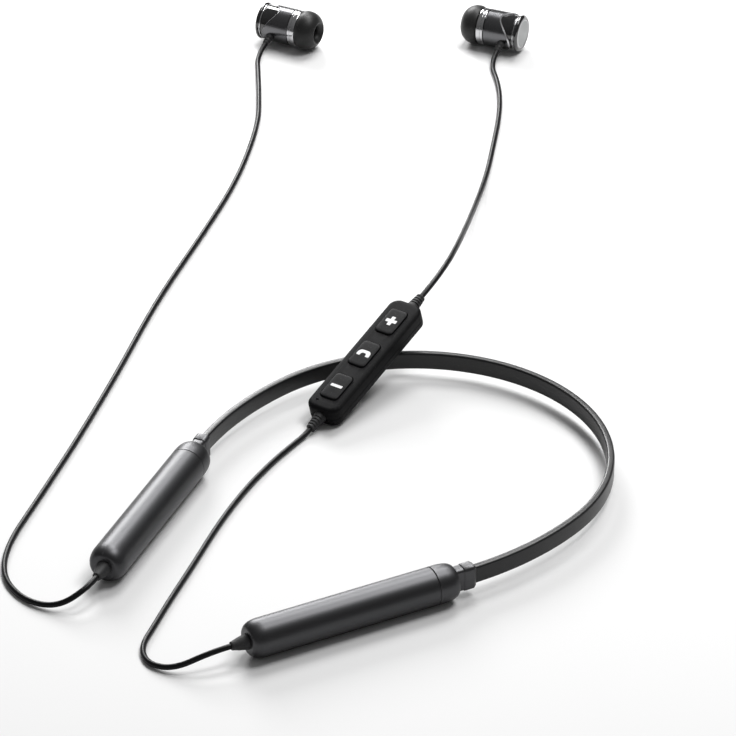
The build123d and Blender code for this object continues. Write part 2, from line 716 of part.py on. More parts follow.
def bud_sleeve():
    """The satin sleeve, whose rear edge is notched on both sides."""
    reach = SLEEVE_END - SLEEVE_NOTCH
    with BuildPart() as sleeve:
        add(tube(BUD_RADIUS, SLEEVE_BORE, -SLEEVE_END, -FRONT_RING_LENGTH - 0.3).part)
        with BuildSketch(Plane.YZ):
            with BuildLine():
                Spline(
                    (-BUD_RADIUS, -SLEEVE_END - 0.2),
                    (0, -reach),
                    (BUD_RADIUS, -SLEEVE_END - 0.2),
                    tangents=((1, 1.1), (1, -1.1)),
                )
                Line((BUD_RADIUS, -SLEEVE_END - 0.2), (-BUD_RADIUS, -SLEEVE_END - 0.2))
            make_face()
        extrude(amount=2 * BUD_RADIUS, both=True, mode=Mode.SUBTRACT)
        add(cord_hole(), mode=Mode.SUBTRACT)
    return sleeve.part


def bud_body():
    """The gloss body under the sleeve."""
    with BuildPart() as body:
        add(tube(BODY_RADIUS, BODY_RADIUS - BODY_WALL, -BODY_END, -FRONT_RING_LENGTH).part)
        add(cord_hole(), mode=Mode.SUBTRACT)
    return body.part


def driver():
    """The moving-coil driver: its basket and the magnet behind it."""
    with BuildPart() as unit_:
        with BuildSketch(Plane.XY.offset(-FRONT_RING_LENGTH)):
            Circle(DRIVER_DIAMETER / 2)
        extrude(amount=-DRIVER_LENGTH)
        with BuildSketch(Plane.XY.offset(-FRONT_RING_LENGTH - DRIVER_LENGTH)):
            Circle(DRIVER_DIAMETER / 2 - 1.5)
        extrude(amount=-1.2)
        chamfer(unit_.edges().sort_by(Axis.Z)[0], 0.3)
    return unit_.part


def trim_ring():
    """The bright ring between the body and the end ring."""
    return tube(BODY_RADIUS + 0.3, END_DISC_RADIUS - 0.6, -TRIM_END, -BODY_END).part


def end_ring():
    """The black ring that frames the end disc, with a floor behind it."""
    with BuildPart() as ring:
        with BuildSketch(Plane.XY.offset(-TRIM_END)):
            Circle(BUD_RADIUS)
        extrude(amount=-END_RING_LENGTH)
        chamfer(ring.edges().sort_by(Axis.Z)[0], 0.45)
        with BuildSketch(Plane.XY.offset(-BUD_END)):
            Circle(END_DISC_RADIUS + SHAFT_FIT)
        extrude(amount=END_DISC_THICKNESS + 0.1, mode=Mode.SUBTRACT)
    return ring.part


def end_disc():
    """The brushed disc set in the end ring."""
    with BuildPart() as disc:
        with BuildSketch(Plane.XY.offset(-BUD_END + 0.1)):
            Circle(END_DISC_RADIUS)
        extrude(amount=END_DISC_THICKNESS)
    return disc.part


def ear_tip():
    """The silicone tip: a hollow dome folded back round a core that slips over the nozzle."""
    core = NOZZLE_DIAMETER / 2 + SHAFT_FIT
    rim = TIP_DIAMETER / 2
    with BuildPart() as tip:
        with BuildSketch(Plane.XZ):
            with BuildLine():
                Polyline((core, NEAR * 2), (core, NOZZLE_LENGTH + 0.3), (core + 0.4, TIP_FRONT - 0.5))
                Bezier((core + 0.4, TIP_FRONT - 0.5), (core + 0.9, TIP_FRONT + 0.3), (core + 1.9, TIP_FRONT))
                Bezier((core + 1.9, TIP_FRONT), (rim, TIP_FRONT - 1.2), (rim + 0.25, 3.0), (rim - 0.15, NEAR * 2))
                Line((rim - 0.15, NEAR * 2), (rim - 0.15 - TIP_WALL, NEAR * 2))
                Bezier(
                    (rim - 0.15 - TIP_WALL, NEAR * 2),
                    (rim - TIP_WALL, 3.4),
                    (rim - 1.3, 4.6),
                    (core + 1.0, TIP_FRONT - 1.3),
                )
                Polyline((core + 1.0, TIP_FRONT - 1.3), (core + 1.0, NEAR * 2), (core, NEAR * 2))
            make_face()
        revolve(axis=Axis.Z)
    return tip.part


def bud_gland():
    """The small gland on the earbud's side."""
    return tapered_gland(
        BUD_GLAND_ROOT_RADIUS,
        BUD_GLAND_TIP_RADIUS,
        BUD_GLAND_LENGTH,
        BUD_GLAND_TIP_RADIUS,
        BUD_SKIN + BODY_WALL + 0.4,
        BUD_GLAND_TIP_RADIUS + 0.4,
        0.6,
    )


BUD_GLAND_PLANE = Plane(origin=(0, -BUD_RADIUS, -BUD_GLAND_Z), x_dir=(1, 0, 0), z_dir=(0, -1, 0))
EARBUDS = {
    "left": earbud_plane(-176.8, 238.2, 197.8, 90),
    "right": earbud_plane(-223.7, 192.3, 13.8, -90),
}
for side_name, plane in EARBUDS.items():
    save(front_ring(), f"{side_name}_front_ring", plane)
    save(front_housing(), f"{side_name}_front_housing", plane)
    save(nozzle_mesh(), f"{side_name}_nozzle_mesh", plane)
    save(bud_sleeve(), f"{side_name}_bud_sleeve", plane)
    save(bud_body(), f"{side_name}_bud_body", plane)
    save(driver(), f"{side_name}_driver", plane)
    save(trim_ring(), f"{side_name}_trim_ring", plane)
    save(end_ring(), f"{side_name}_end_ring", plane)
    save(end_disc(), f"{side_name}_end_disc", plane)
    save(ear_tip(), f"{side_name}_ear_tip", plane)
    save(bud_gland().moved(BUD_GLAND_PLANE.location), f"{side_name}_bud_gland", plane)

# ---------------------------------------------------------------- cords

# Each route lies on the floor but for its ends, where it comes down from a gland, and has a hump off the remote.
FLOOR = CORD_DIAMETER / 2
RIGHT_CORD_POINTS = [
    (-29.5, -129.0, 1.8),
    (-41.0, -132.0, FLOOR),
    (-55.0, -127.0, FLOOR),
    (-66.5, -113.0, FLOOR),
    (-77.0, -90.0, FLOOR),
    (-93.0, -56.0, FLOOR),
    (-112.5, -17.5, FLOOR),
    (-135.0, 24.0, FLOOR),
    (-155.0, 68.0, FLOOR),
    (-172.0, 103.0, FLOOR),
    (-193.5, 136.5, FLOOR),
    (-208.0, 152.5, FLOOR),
    (-220.5, 165.5, FLOOR),
]
LOWER_LEFT_CORD_POINTS = [
    (19.0, -129.0, 1.7),
    (10.5, -131.5, FLOOR),
    (3.0, -126.5, FLOOR),
    (-2.0, -115.5, FLOOR),
    (-8.0, -102.5, FLOOR),
    (-16.0, -84.0, FLOOR),
    (-26.0, -62.0, FLOOR),
    (-33.5, -42.0, FLOOR),
    (-38.0, -25.0, FLOOR),
    (-40.1, -13.0, FLOOR),
]
UPPER_LEFT_CORD_POINTS = [
    (-57.6, 78.7, 23.2),
    (-64.3, 91.3, 20.6),
    (-73.8, 106.4, 15.8),
    (-84.5, 122.6, 10.2),
    (-94.9, 138.3, 5.2),
    (-104.4, 153.0, 1.9),
    (-112.8, 166.3, FLOOR),
    (-122.0, 180.5, FLOOR),
    (-132.7, 195.9, FLOOR),
    (-143.0, 208.8, FLOOR),
    (-152.4, 218.2, FLOOR),
]


def cord_radii(points):
    """The arc at each corner: 0.45 of the shorter run beside it, over the tangent of half its turn."""
    radii = []
    for before, corner, after in zip(points, points[1:], points[2:]):
        run_in = Vector(*corner) - Vector(*before)
        run_out = Vector(*after) - Vector(*corner)
        half_turn = math.radians(run_in.get_angle(run_out) / 2)
        radii.append(0.45 * min(run_in.length, run_out.length) / math.tan(half_turn))
    return radii


def cord(label, start, points, end):
    """A cord node from one gland to the next: straight runs joined by tangent arcs, with a round section."""
    points = [*start, *points, *reversed(end)]
    radii = cord_radii(points)
    with BuildPart() as tube_:
        with BuildLine() as route:
            FilletPolyline(*points, radius=radii)
        path = route.wires()[0]
        with BuildSketch(Plane(origin=path @ 0, z_dir=path % 0)):
            Circle(FLOOR)
        sweep(path=path)
    print(label, "length", round(path.length, 1), "radii", [round(radius, 1) for radius in radii])
    print(label, "glands", [tuple(round(value, 2) for value in point) for point in (*start, *reversed(end))])
    save(tube_.part, label)


def way_out(plane, place, outward, run):
    """A gland's outer end and the point straight out from it, in the row's own axes."""
    ends = [plane.from_local_coords(Vector(*place) + Vector(*outward) * step) for step in (0, run)]
    return [tuple(end) for end in ends]


POD_GLAND_END = (0, 0, TIP_Z + POD_GLAND_LENGTH)
BUD_GLAND_END = (0, -BUD_RADIUS - BUD_GLAND_LENGTH, -BUD_GLAND_Z)
cord(
    "right_cord",
    way_out(RIGHT_POD, POD_GLAND_END, (0, 0, 1), 6.5),
    RIGHT_CORD_POINTS,
    way_out(EARBUDS["right"], BUD_GLAND_END, (0, -1, 0), 6.5),
)
cord(
    "lower_left_cord",
    way_out(LEFT_POD, POD_GLAND_END, (0, 0, 1), 6.5),
    LOWER_LEFT_CORD_POINTS,
    way_out(REMOTE, (0, -REMOTE_GLAND_LENGTH, 0), (0, -1, 0), 3.2),
)
cord(
    "upper_left_cord",
    way_out(REMOTE, (0, REMOTE_LENGTH + REMOTE_GLAND_LENGTH, 0), (0, 1, 0), 8.0),
    UPPER_LEFT_CORD_POINTS,
    way_out(EARBUDS["left"], BUD_GLAND_END, (0, -1, 0), 6.5),
)
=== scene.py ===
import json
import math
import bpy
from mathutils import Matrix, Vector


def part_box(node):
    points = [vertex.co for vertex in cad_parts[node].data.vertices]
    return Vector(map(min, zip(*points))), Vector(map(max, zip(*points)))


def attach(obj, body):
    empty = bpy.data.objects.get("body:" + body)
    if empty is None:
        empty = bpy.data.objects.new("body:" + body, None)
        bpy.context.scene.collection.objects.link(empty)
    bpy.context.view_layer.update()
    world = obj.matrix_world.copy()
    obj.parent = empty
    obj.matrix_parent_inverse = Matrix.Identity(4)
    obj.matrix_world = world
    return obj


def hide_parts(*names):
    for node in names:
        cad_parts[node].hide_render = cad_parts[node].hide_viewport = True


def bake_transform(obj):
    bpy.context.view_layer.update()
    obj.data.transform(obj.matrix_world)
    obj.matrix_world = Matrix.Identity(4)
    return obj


bl_info = {
    "name": "Neckband Earphones",
    "version": (1, 0, 0),
    "blender": (4, 5, 0),
    "location": "View3D > Sidebar > Neckband",
    "description": "Builds the visible pieces of a pair of neckband earphones round their fixed frame",
    "category": "Add Mesh",
}

import bmesh
import bpy
from bpy.props import FloatProperty, FloatVectorProperty, IntProperty, PointerProperty
from mathutils import Matrix, Vector

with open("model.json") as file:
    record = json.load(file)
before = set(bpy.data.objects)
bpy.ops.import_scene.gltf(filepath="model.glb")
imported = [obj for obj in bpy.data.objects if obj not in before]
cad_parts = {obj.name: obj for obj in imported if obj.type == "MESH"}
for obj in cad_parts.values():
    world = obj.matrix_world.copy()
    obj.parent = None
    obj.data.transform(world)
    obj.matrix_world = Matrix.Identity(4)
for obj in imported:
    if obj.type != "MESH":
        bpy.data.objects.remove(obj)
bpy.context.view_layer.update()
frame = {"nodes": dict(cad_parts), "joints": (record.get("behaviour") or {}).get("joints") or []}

MM = 0.001
TOUCHING = 0.0005 * MM
UP = Vector((0, 0, 1))
SIDES = {"left": 1, "right": -1}

# ---------------------------------------------------------------- sizes and colours


def length(name, description, millimetres):
    """A length property with its default in millimetres."""
    return FloatProperty(
        name=name, description=description, default=millimetres * MM, min=0, unit="LENGTH", precision=5
    )


def angle(name, description, degrees):
    """An angle property with its default in degrees."""
    return FloatProperty(name=name, description=description, default=math.radians(degrees), unit="ROTATION")


def colour(name, description, default):
    """A colour property."""
    return FloatVectorProperty(
        name=name, description=description, default=default, size=3, min=0, max=1, subtype="COLOR"
    )


class BandSizes(bpy.types.PropertyGroup):
    """Sizes of the neckband."""

    height: length("Height", "Height of the band's section", 6.0)
    thickness: length("Thickness", "Thickness of the band's section", 2.4)
    edge: length("Edge", "Rounding of the section's corners", 0.75)
    crown_radius: length("Crown radius", "Radius of the rear arc", 61.0)
    crown_half: angle("Crown half angle", "Half of the rear arc's angle", 85.0)
    side_radius: length("Side radius", "Radius of the gentler side arcs", 103.0)
    side_turn: angle("Side turn", "Angle of each side arc", 25.0)
    tail: length("Tail", "Straight end held in the cap", 7.0)
    wire: length("Wire", "Diameter of the springy wire", 1.0)
    wire_lift: length("Wire lift", "Height of the wire above the band's middle", 1.3)
    lead: length("Lead", "Diameter of each insulated lead", 0.6)


class PodSizes(bpy.types.PropertyGroup):
    """Sizes of the two pods."""

    radius: length("Radius", "Outer radius of the tube", 6.0)
    wall: length("Wall", "Wall of the tube", 1.0)
    seam: length("Seam", "Where the cap meets the tube, from the band's end", 12.0)
    tip: length("Tip", "Where the tube ends, from the band's end", 74.3)
    tip_round: length("Tip round", "Rounding of the tube's end", 4.6)
    collar: length("Collar", "Length of the collar outside the cap", 4.7)
    collar_wall: length("Collar wall", "Wall of the collar round the band", 1.15)
    collar_reach: length("Collar reach", "How far the collar runs on over the band", 2.2)
    mouth: length("Mouth", "Radius of the cap's flat mouth", 4.5)
    gland: length("Gland", "Length of the cord gland", 5.4)
    port_middle: length("Port", "Middle of the port, from the band's end", 40.0)
    port_long: length("Port length", "Length of the port's opening", 11.4)
    port_wide: length("Port width", "Width of the port's opening", 4.6)


class RemoteSizes(bpy.types.PropertyGroup):
    """Sizes of the in-line remote."""

    long: length("Length", "Length of the case", 53.0)
    wide: length("Width", "Width of the case", 12.0)
    thick: length("Thickness", "Thickness of the case", 7.2)
    corner: length("Corner", "Corner radius of the case's outline", 3.6)
    edge: length("Edge", "Rounding of the face's edge", 1.5)
    parting: length("Parting", "How far behind the middle the halves meet", 0.6)
    gland: length("Gland", "Length of each cord gland", 6.0)
    button_long: length("Button length", "Length of a button", 11.0)
    button_wide: length("Button width", "Width of a button", 6.6)
    button_corner: length("Button corner", "Corner radius of a button", 1.5)
    button_proud: length("Button height", "How far a button stands out", 0.5)


class BudSizes(bpy.types.PropertyGroup):
    """Sizes of an earbud."""

    radius: length("Radius", "Outer radius of the metal parts", 6.7)
    skin: length("Skin", "Wall of the ring and the sleeve", 0.55)
    ring: length("Ring", "Length of the polished ring", 2.7)
    sleeve: length("Sleeve", "Where the sleeve's longest edge ends", 13.2)
    notch: length("Notch", "Depth of the sleeve's notch", 4.7)
    body: length("Body", "Where the gloss body ends", 13.9)
    trim: length("Trim", "Length of the bright trim ring", 0.7)
    end_ring: length("End ring", "Length of the end ring", 1.5)
    disc: length("Disc", "Radius of the end disc", 5.3)
    nozzle: length("Nozzle", "Length of the nozzle", 4.2)
    nozzle_radius: length("Nozzle radius", "Outer radius of the nozzle", 2.3)
    tip_radius: length("Tip radius", "Largest radius of the ear tip", 7.15)
    tip_front: length("Tip front", "How far the ear tip reaches", 6.9)
    gland_back: length("Gland place", "Where the cord gland stands, behind the ring's front", 9.9)
    gland: length("Gland", "Length of the cord gland", 3.6)
    roll: angle("Roll", "How far below level the cord leaves", 22.0)


class CordSizes(bpy.types.PropertyGroup):
    """Sizes of the cords."""

    diameter: length("Diameter", "Outer diameter of the jacket", 1.8)
    sides: IntProperty(name="Sides", description="Faces round the jacket", default=20, min=8)


class Finishes(bpy.types.PropertyGroup):
    """Colours of the visible finishes."""

    rubber: colour("Band rubber", "The band's satin rubber", (0.008, 0.008, 0.0085))
    gunmetal: colour("Gunmetal", "The pods' satin metal", (0.072, 0.072, 0.075))
    collar: colour("Collar", "The collars' darker metal", (0.070, 0.070, 0.0725))
    relief: colour("Strain relief", "The glands' rubber", (0.024, 0.024, 0.025))
    jacket: colour("Cord jacket", "The cords' glossy jacket", (0.006, 0.006, 0.0065))
    gloss: colour("Gloss black", "The earbuds' gloss parts", (0.004, 0.004, 0.0045))
    matte: colour("Matte black", "The remote's case", (0.0045, 0.0045, 0.005))
    button: colour("Button", "The remote's buttons", (0.007, 0.007, 0.0075))
    mark: colour("Marks", "The signs on the buttons", (0.82, 0.82, 0.82))
    chrome: colour("Chrome", "The polished rings", (0.52, 0.52, 0.53))
    disc: colour("End disc", "The brushed end discs", (0.25, 0.255, 0.255))
    silicone: colour("Silicone", "The ear tips", (0.011, 0.011, 0.011))
    floor: colour("Floor", "The pale floor", (0.74, 0.74, 0.74))


# ---------------------------------------------------------------- shader groups


def add_node(tree, kind, **values):
    """A node in a tree, with its attributes and unlinked inputs set by name."""
    node = tree.nodes.new(kind)
    for name, value in values.items():
        if name in node.bl_rna.properties:
            setattr(node, name, value)
        else:
            node.inputs[name.replace("_", " ").title()].default_value = value
    return node


def feed(tree, socket, value):
    """Links a socket to another socket, or sets it to a value."""
    if isinstance(value, bpy.types.NodeSocket):
        tree.links.new(value, socket)
    else:
        socket.default_value = value


def calculate(tree, operation, *values):
    """A math node of one or two values, each a socket or a number."""
    node = add_node(tree, "ShaderNodeMath", operation=operation)
    for socket, value in zip(node.inputs, values):
        feed(tree, socket, value)
    return node.outputs[0]


def blend_colour(tree, factor, *pair):
    """A mix of two colours, each a socket or a colour."""
    node = add_node(tree, "ShaderNodeMix", data_type="RGBA")
    tree.links.new(factor, node.inputs[0])
    for socket, value in zip(node.inputs[6:8], pair):
        feed(tree, socket, (*value, 1.0) if isinstance(value, (tuple, list)) else value)
    return node.outputs[2]


def ramp(tree, value, start, end, low=0.0, high=1.0):
    """A value stretched from one range to another, and held inside it."""
    node = add_node(tree, "ShaderNodeMapRange", from_min=start, from_max=end, to_min=low, to_max=high)
    tree.links.new(value, node.inputs["Value"])
    return node.outputs["Result"]


def group(name, inputs, output):
    """A new shader group with number inputs and one number output; returns the tree and its two end nodes."""
    tree = bpy.data.node_groups.new(name, "ShaderNodeTree")
    for label, default in inputs:
        socket = tree.interface.new_socket(label, in_out="INPUT", socket_type="NodeSocketFloat")
        socket.default_value = default
    tree.interface.new_socket(output, in_out="OUTPUT", socket_type="NodeSocketFloat")
    return tree, tree.nodes.new("NodeGroupInput"), tree.nodes.new("NodeGroupOutput")


def place(tree):
    """The position on the piece itself."""
    return tree.nodes.new("ShaderNodeTexCoord").outputs["Object"]


def noise(tree, scale, **values):
    """Noise over the piece, at a scale that is a socket or a number."""
    node = add_node(tree, "ShaderNodeTexNoise", **values)
    tree.links.new(place(tree), node.inputs["Vector"])
    feed(tree, node.inputs["Scale"], scale)
    return node.outputs["Fac"]


def drift_group():
    """Slow unevenness of a finish, from 0 to 1."""
    tree, given, out = group("Surface Drift", [("Scale", 150.0), ("Contrast", 1.0)], "Mask")
    centred = calculate(tree, "SUBTRACT", noise(tree, given.outputs["Scale"], detail=3.0, roughness=0.55), 0.5)
    spread = calculate(tree, "MULTIPLY", centred, given.outputs["Contrast"])
    tree.links.new(calculate(tree, "ADD", spread, 0.5), out.inputs[0])
    return tree


def grain_group():
    """The fine pebble of moulded rubber and plastic."""
    tree, given, out = group("Moulded Grain", [("Scale", 5000.0), ("Pebble", 0.5)], "Height")
    cells = add_node(tree, "ShaderNodeTexVoronoi", feature="SMOOTH_F1")
    tree.links.new(place(tree), cells.inputs["Vector"])
    tree.links.new(given.outputs["Scale"], cells.inputs["Scale"])
    pebble = calculate(tree, "MULTIPLY", cells.outputs["Distance"], given.outputs["Pebble"])
    fine = noise(tree, given.outputs["Scale"], detail=2.0, roughness=0.6)
    tree.links.new(calculate(tree, "ADD", fine, pebble), out.inputs[0])
    return tree


def wear_group():
    """Where edges are rubbed bare."""
    tree, given, out = group("Edge Wear", [("Amount", 0.5), ("Break Up", 700.0)], "Mask")
    shape = tree.nodes.new("ShaderNodeNewGeometry")
    edge = ramp(tree, shape.outputs["Pointiness"], 0.53, 0.62)
    rubbed = calculate(tree, "MULTIPLY", edge, noise(tree, given.outputs["Break Up"], detail=4.0))
    tree.links.new(calculate(tree, "MULTIPLY", rubbed, given.outputs["Amount"]), out.inputs[0])
    return tree


def dust_group():
    """Sparse specks of dust."""
    tree, given, out = group("Fine Dust", [("Scale", 2500.0), ("Amount", 0.3)], "Mask")
    sparse = ramp(tree, noise(tree, given.outputs["Scale"], detail=1.0), 0.68, 0.78)
    tree.links.new(calculate(tree, "MULTIPLY", sparse, given.outputs["Amount"]), out.inputs[0])
    return tree


def streak_group():
    """Fine lines drawn along a piece's own Z, or round it when Along is larger than Across."""
    tree, given, out = group("Drawn Streaks", [("Across", 9000.0), ("Along", 60.0)], "Height")
    split = tree.nodes.new("ShaderNodeSeparateXYZ")
    joined = tree.nodes.new("ShaderNodeCombineXYZ")
    tree.links.new(place(tree), split.inputs[0])
    for axis, factor in enumerate(("Across", "Across", "Along")):
        scaled = calculate(tree, "MULTIPLY", split.outputs[axis], given.outputs[factor])
        tree.links.new(scaled, joined.inputs[axis])
    lines = add_node(tree, "ShaderNodeTexNoise", detail=3.0, scale=1.0)
    tree.links.new(joined.outputs[0], lines.inputs["Vector"])
    tree.links.new(lines.outputs["Fac"], out.inputs[0])
    return tree


def ring_group():
    """Fine circles about a turned piece's own axis."""
    tree, given, out = group("Turned Circles", [("Scale", 9000.0), ("Waver", 0.3)], "Height")
    flat = add_node(tree, "ShaderNodeVectorMath", operation="MULTIPLY")
    flat.inputs[1].default_value = (1, 1, 0)
    tree.links.new(place(tree), flat.inputs[0])
    radius = add_node(tree, "ShaderNodeVectorMath", operation="LENGTH")
    tree.links.new(flat.outputs[0], radius.inputs[0])
    scaled = calculate(tree, "MULTIPLY", radius.outputs["Value"], given.outputs["Scale"])
    wavered = calculate(tree, "MULTIPLY", noise(tree, 260.0, detail=1.0), given.outputs["Waver"])
    lines = add_node(tree, "ShaderNodeTexNoise", noise_dimensions="1D", scale=1.0, detail=2.0)
    tree.links.new(calculate(tree, "ADD", scaled, wavered), lines.inputs["W"])
    tree.links.new(lines.outputs["Fac"], out.inputs[0])
    return tree


GROUP_MAKERS = {
    "Surface Drift": drift_group,
    "Moulded Grain": grain_group,
    "Edge Wear": wear_group,
    "Fine Dust": dust_group,
    "Drawn Streaks": streak_group,
    "Turned Circles": ring_group,
}


def effect(tree, name, **values):
    """One of the shared effects placed in a material with its own values; returns its output."""
    node = tree.nodes.new("ShaderNodeGroup")
    node.node_tree = bpy.data.node_groups.get(name) or GROUP_MAKERS[name]()
    for label, value in values.items():
        node.inputs[label.replace("_", " ").title()].default_value = value
    return node.outputs[0]


# ---------------------------------------------------------------- finishes

DUST = (0.45, 0.44, 0.42)
DUST_ROUGHNESS = 0.4
DRIFT_CONTRAST = 1.6


def add_relief(tree, height, depth):
    """Feeds a height to the shader's normal as relief of a depth."""
    bump = add_node(tree, "ShaderNodeBump", distance=depth)
    tree.links.new(height, bump.inputs["Height"])
    tree.links.new(bump.outputs[0], tree.nodes["Principled BSDF"].inputs["Normal"])


def finish(
    name,
    base,
    rough,
    metal=0.0,
    drift=(160.0, 0.10),
    tone=0.25,
    grain=None,
    streaks=None,
    circles=None,
    wear=0.0,
    worn=(0.5, 0.5, 0.5),
    dust=0.0,
    depth=0.02 * MM,
    **plain,
):
    """A finish: its base colour drifts in tone and gloss, with relief, rubbed edges and dust where it has them."""
    if name in bpy.data.materials:
        return bpy.data.materials[name]
    material = bpy.data.materials.new(name)
    material.use_nodes = True
    material.diffuse_color = (*base, 1.0)
    tree = material.node_tree
    shader = tree.nodes["Principled BSDF"]
    shader.inputs["Metallic"].default_value = metal
    for label, value in plain.items():
        shader.inputs[label.replace("_", " ")].default_value = value
    uneven = effect(tree, "Surface Drift", scale=drift[0], contrast=DRIFT_CONTRAST)
    darker = [value * (1 - tone) for value in base]
    lighter = [min(1.0, value * (1 + tone)) for value in base]
    shade = blend_colour(tree, uneven, darker, lighter)
    gloss = calculate(tree, "ADD", rough - drift[1] / 2, calculate(tree, "MULTIPLY", uneven, drift[1]))
    if wear:
        rubbed = effect(tree, "Edge Wear", amount=wear)
        shade = blend_colour(tree, rubbed, shade, worn)
    if dust:
        specks = effect(tree, "Fine Dust", amount=dust)
        shade = blend_colour(tree, specks, shade, DUST)
        gloss = calculate(tree, "ADD", gloss, calculate(tree, "MULTIPLY", specks, DUST_ROUGHNESS))
    tree.links.new(shade, shader.inputs["Base Color"])
    tree.links.new(gloss, shader.inputs["Roughness"])
    heights = []
    if grain:
        heights.append(effect(tree, "Moulded Grain", scale=grain))
    if streaks:
        heights.append(effect(tree, "Drawn Streaks", across=streaks[0], along=streaks[1]))
    if circles:
        heights.append(effect(tree, "Turned Circles", scale=circles))
    if heights:
        relief = heights[0] if len(heights) == 1 else calculate(tree, "ADD", *heights)
        add_relief(tree, relief, depth)
    return material


def woven_steel():
    """The nozzle's woven mesh: two sets of fine wires, with painted shade in the gaps between them."""
    name = "Woven steel mesh"
    if name in bpy.data.materials:
        return bpy.data.materials[name]
    wire_pitch = math.pi / 16000.0
    material = finish(name, (0.30, 0.30, 0.31), 0.35, metal=1.0, drift=(400.0, 0.12))
    tree = material.node_tree
    split = tree.nodes.new("ShaderNodeSeparateXYZ")
    tree.links.new(place(tree), split.inputs[0])
    waves = []
    for axis in (0, 1):
        swing = calculate(tree, "SINE", calculate(tree, "MULTIPLY", split.outputs[axis], math.pi / wire_pitch))
        waves.append(calculate(tree, "ABSOLUTE", swing))
    height = calculate(tree, "MAXIMUM", *waves)
    # painted shade: near black in the gaps between the wires, steel grey on the wires' crests
    shade = blend_colour(tree, height, (0.01, 0.01, 0.01), (0.42, 0.42, 0.43))
    tree.links.new(shade, tree.nodes["Principled BSDF"].inputs["Base Color"])
    add_relief(tree, height, 0.05 * MM)
    return material


def colours():
    """The colours of this scene."""
    return bpy.context.scene.neckband_finishes


def band_rubber():
    """The band's satin rubber."""
    return finish("Satin band rubber", tuple(colours().rubber), 0.34, grain=3800.0, depth=0.012 * MM, dust=0.05,
                  drift=(90.0, 0.08), tone=0.2, wear=0.10, worn=(0.04, 0.04, 0.04), Specular_IOR_Level=0.38)


def gunmetal():
    """The pods' satin metal."""
    return finish("Satin gunmetal", tuple(colours().gunmetal), 0.41, metal=1.0, grain=6000.0,
                  depth=0.004 * MM, drift=(45.0, 0.025), tone=0.05, wear=0.35, worn=(0.30, 0.30, 0.31))


def bud_metal():
    """The earbuds' satin sleeves, turned on a lathe."""
    return finish("Satin sleeve metal", (0.13, 0.13, 0.135), 0.24, metal=1.0, circles=7000.0,
                  depth=0.0006 * MM, drift=(120.0, 0.04), tone=0.06, wear=0.12, worn=(0.5, 0.5, 0.51))


def collar_metal():
    """The collars' cast metal."""
    return finish("Dark collar metal", tuple(colours().collar), 0.36, metal=0.85, grain=5000.0, depth=0.002 * MM,
                  drift=(150.0, 0.05), tone=0.10, wear=0.02, worn=(0.2, 0.2, 0.2))


def relief_rubber():
    """The rubber of the cord glands and the port's cover."""
    return finish("Strain relief rubber", tuple(colours().relief), 0.58, grain=4200.0, depth=0.02 * MM,
                  drift=(300.0, 0.12), tone=0.25, dust=0.08, Specular_IOR_Level=0.35)


def cord_jacket():
    """The cords' smooth jacket."""
    return finish("Glossy cord jacket", tuple(colours().jacket), 0.33, grain=2600.0, depth=0.004 * MM,
                  drift=(60.0, 0.10), tone=0.3, dust=0.05, Specular_IOR_Level=0.14)


def gloss_black():
    """The earbuds' bodies and end rings."""
    return finish("Gloss black", tuple(colours().gloss), 0.07, drift=(220.0, 0.05), tone=0.2, dust=0.08,
                  grain=900.0, depth=0.0015 * MM, Coat_Weight=1.0, Coat_Roughness=0.03)


def case_matte():
    """The remote's case and the earbuds' fronts."""
    return finish("Matte case plastic", tuple(colours().matte), 0.55, grain=4600.0, depth=0.020 * MM,
                  drift=(140.0, 0.12), tone=0.25, wear=0.2, worn=(0.05, 0.05, 0.05), dust=0.05,
                  Specular_IOR_Level=0.08)


def button_matte():
    """The remote's buttons."""
    return finish("Soft-touch button", tuple(colours().button), 0.44, grain=5200.0, depth=0.014 * MM,
                  drift=(300.0, 0.14), tone=0.25, wear=0.3, worn=(0.08, 0.08, 0.08), dust=0.05,
                  Specular_IOR_Level=0.10)


def mark_print():
    """The signs printed on the buttons."""
    return finish("Printed mark", tuple(colours().mark), 0.48, grain=6000.0, depth=0.006 * MM,
                  drift=(900.0, 0.12), tone=0.05)


def chrome():
    """The earbuds' polished rings."""
    return finish("Polished chrome", tuple(colours().chrome), 0.15, metal=1.0, circles=5000.0, depth=0.0002 * MM,
                  drift=(300.0, 0.06), tone=0.05)


def bright_edge():
    """The bright chamfers of the sleeves and the discs."""
    return finish("Diamond-cut edge", tuple(colours().chrome), 0.36, metal=1.0, circles=6000.0, depth=0.001 * MM,
                  drift=(300.0, 0.06), tone=0.05)


def disc_metal():
    """The earbuds' end discs."""
    return finish("Circular-brushed disc", tuple(colours().disc), 0.34, metal=1.0, circles=14000.0,
                  depth=0.010 * MM, drift=(420.0, 0.10), tone=0.08, Anisotropic=0.5)


def silicone():
    """The ear tips."""
    return finish("Ear tip silicone", tuple(colours().silicone), 0.45, grain=2200.0, depth=0.004 * MM,
                  drift=(150.0, 0.12), tone=0.3, dust=0.12, Sheen_Weight=0.08, Sheen_Roughness=0.4,
                  Specular_IOR_Level=0.3)


def spring_steel():
    """The springy wire in the band."""
    return finish("Drawn spring steel", (0.60, 0.59, 0.58), 0.30, metal=1.0, streaks=(8000.0, 100.0),
                  depth=0.004 * MM)


def lead_jacket():
    """The leads' insulation."""
    return finish("Lead insulation", (0.30, 0.03, 0.03), 0.45, grain=4000.0, depth=0.008 * MM)


def board_mask():
    """The circuit boards."""
    return finish("Solder-masked board", (0.02, 0.11, 0.055), 0.32, grain=1800.0, depth=0.006 * MM,
                  drift=(800.0, 0.2), tone=0.3, Coat_Weight=0.4)


def chip_resin():
    """The chips on the main board."""
    return finish("Chip resin", (0.022, 0.022, 0.024), 0.55, grain=7000.0, depth=0.01 * MM)


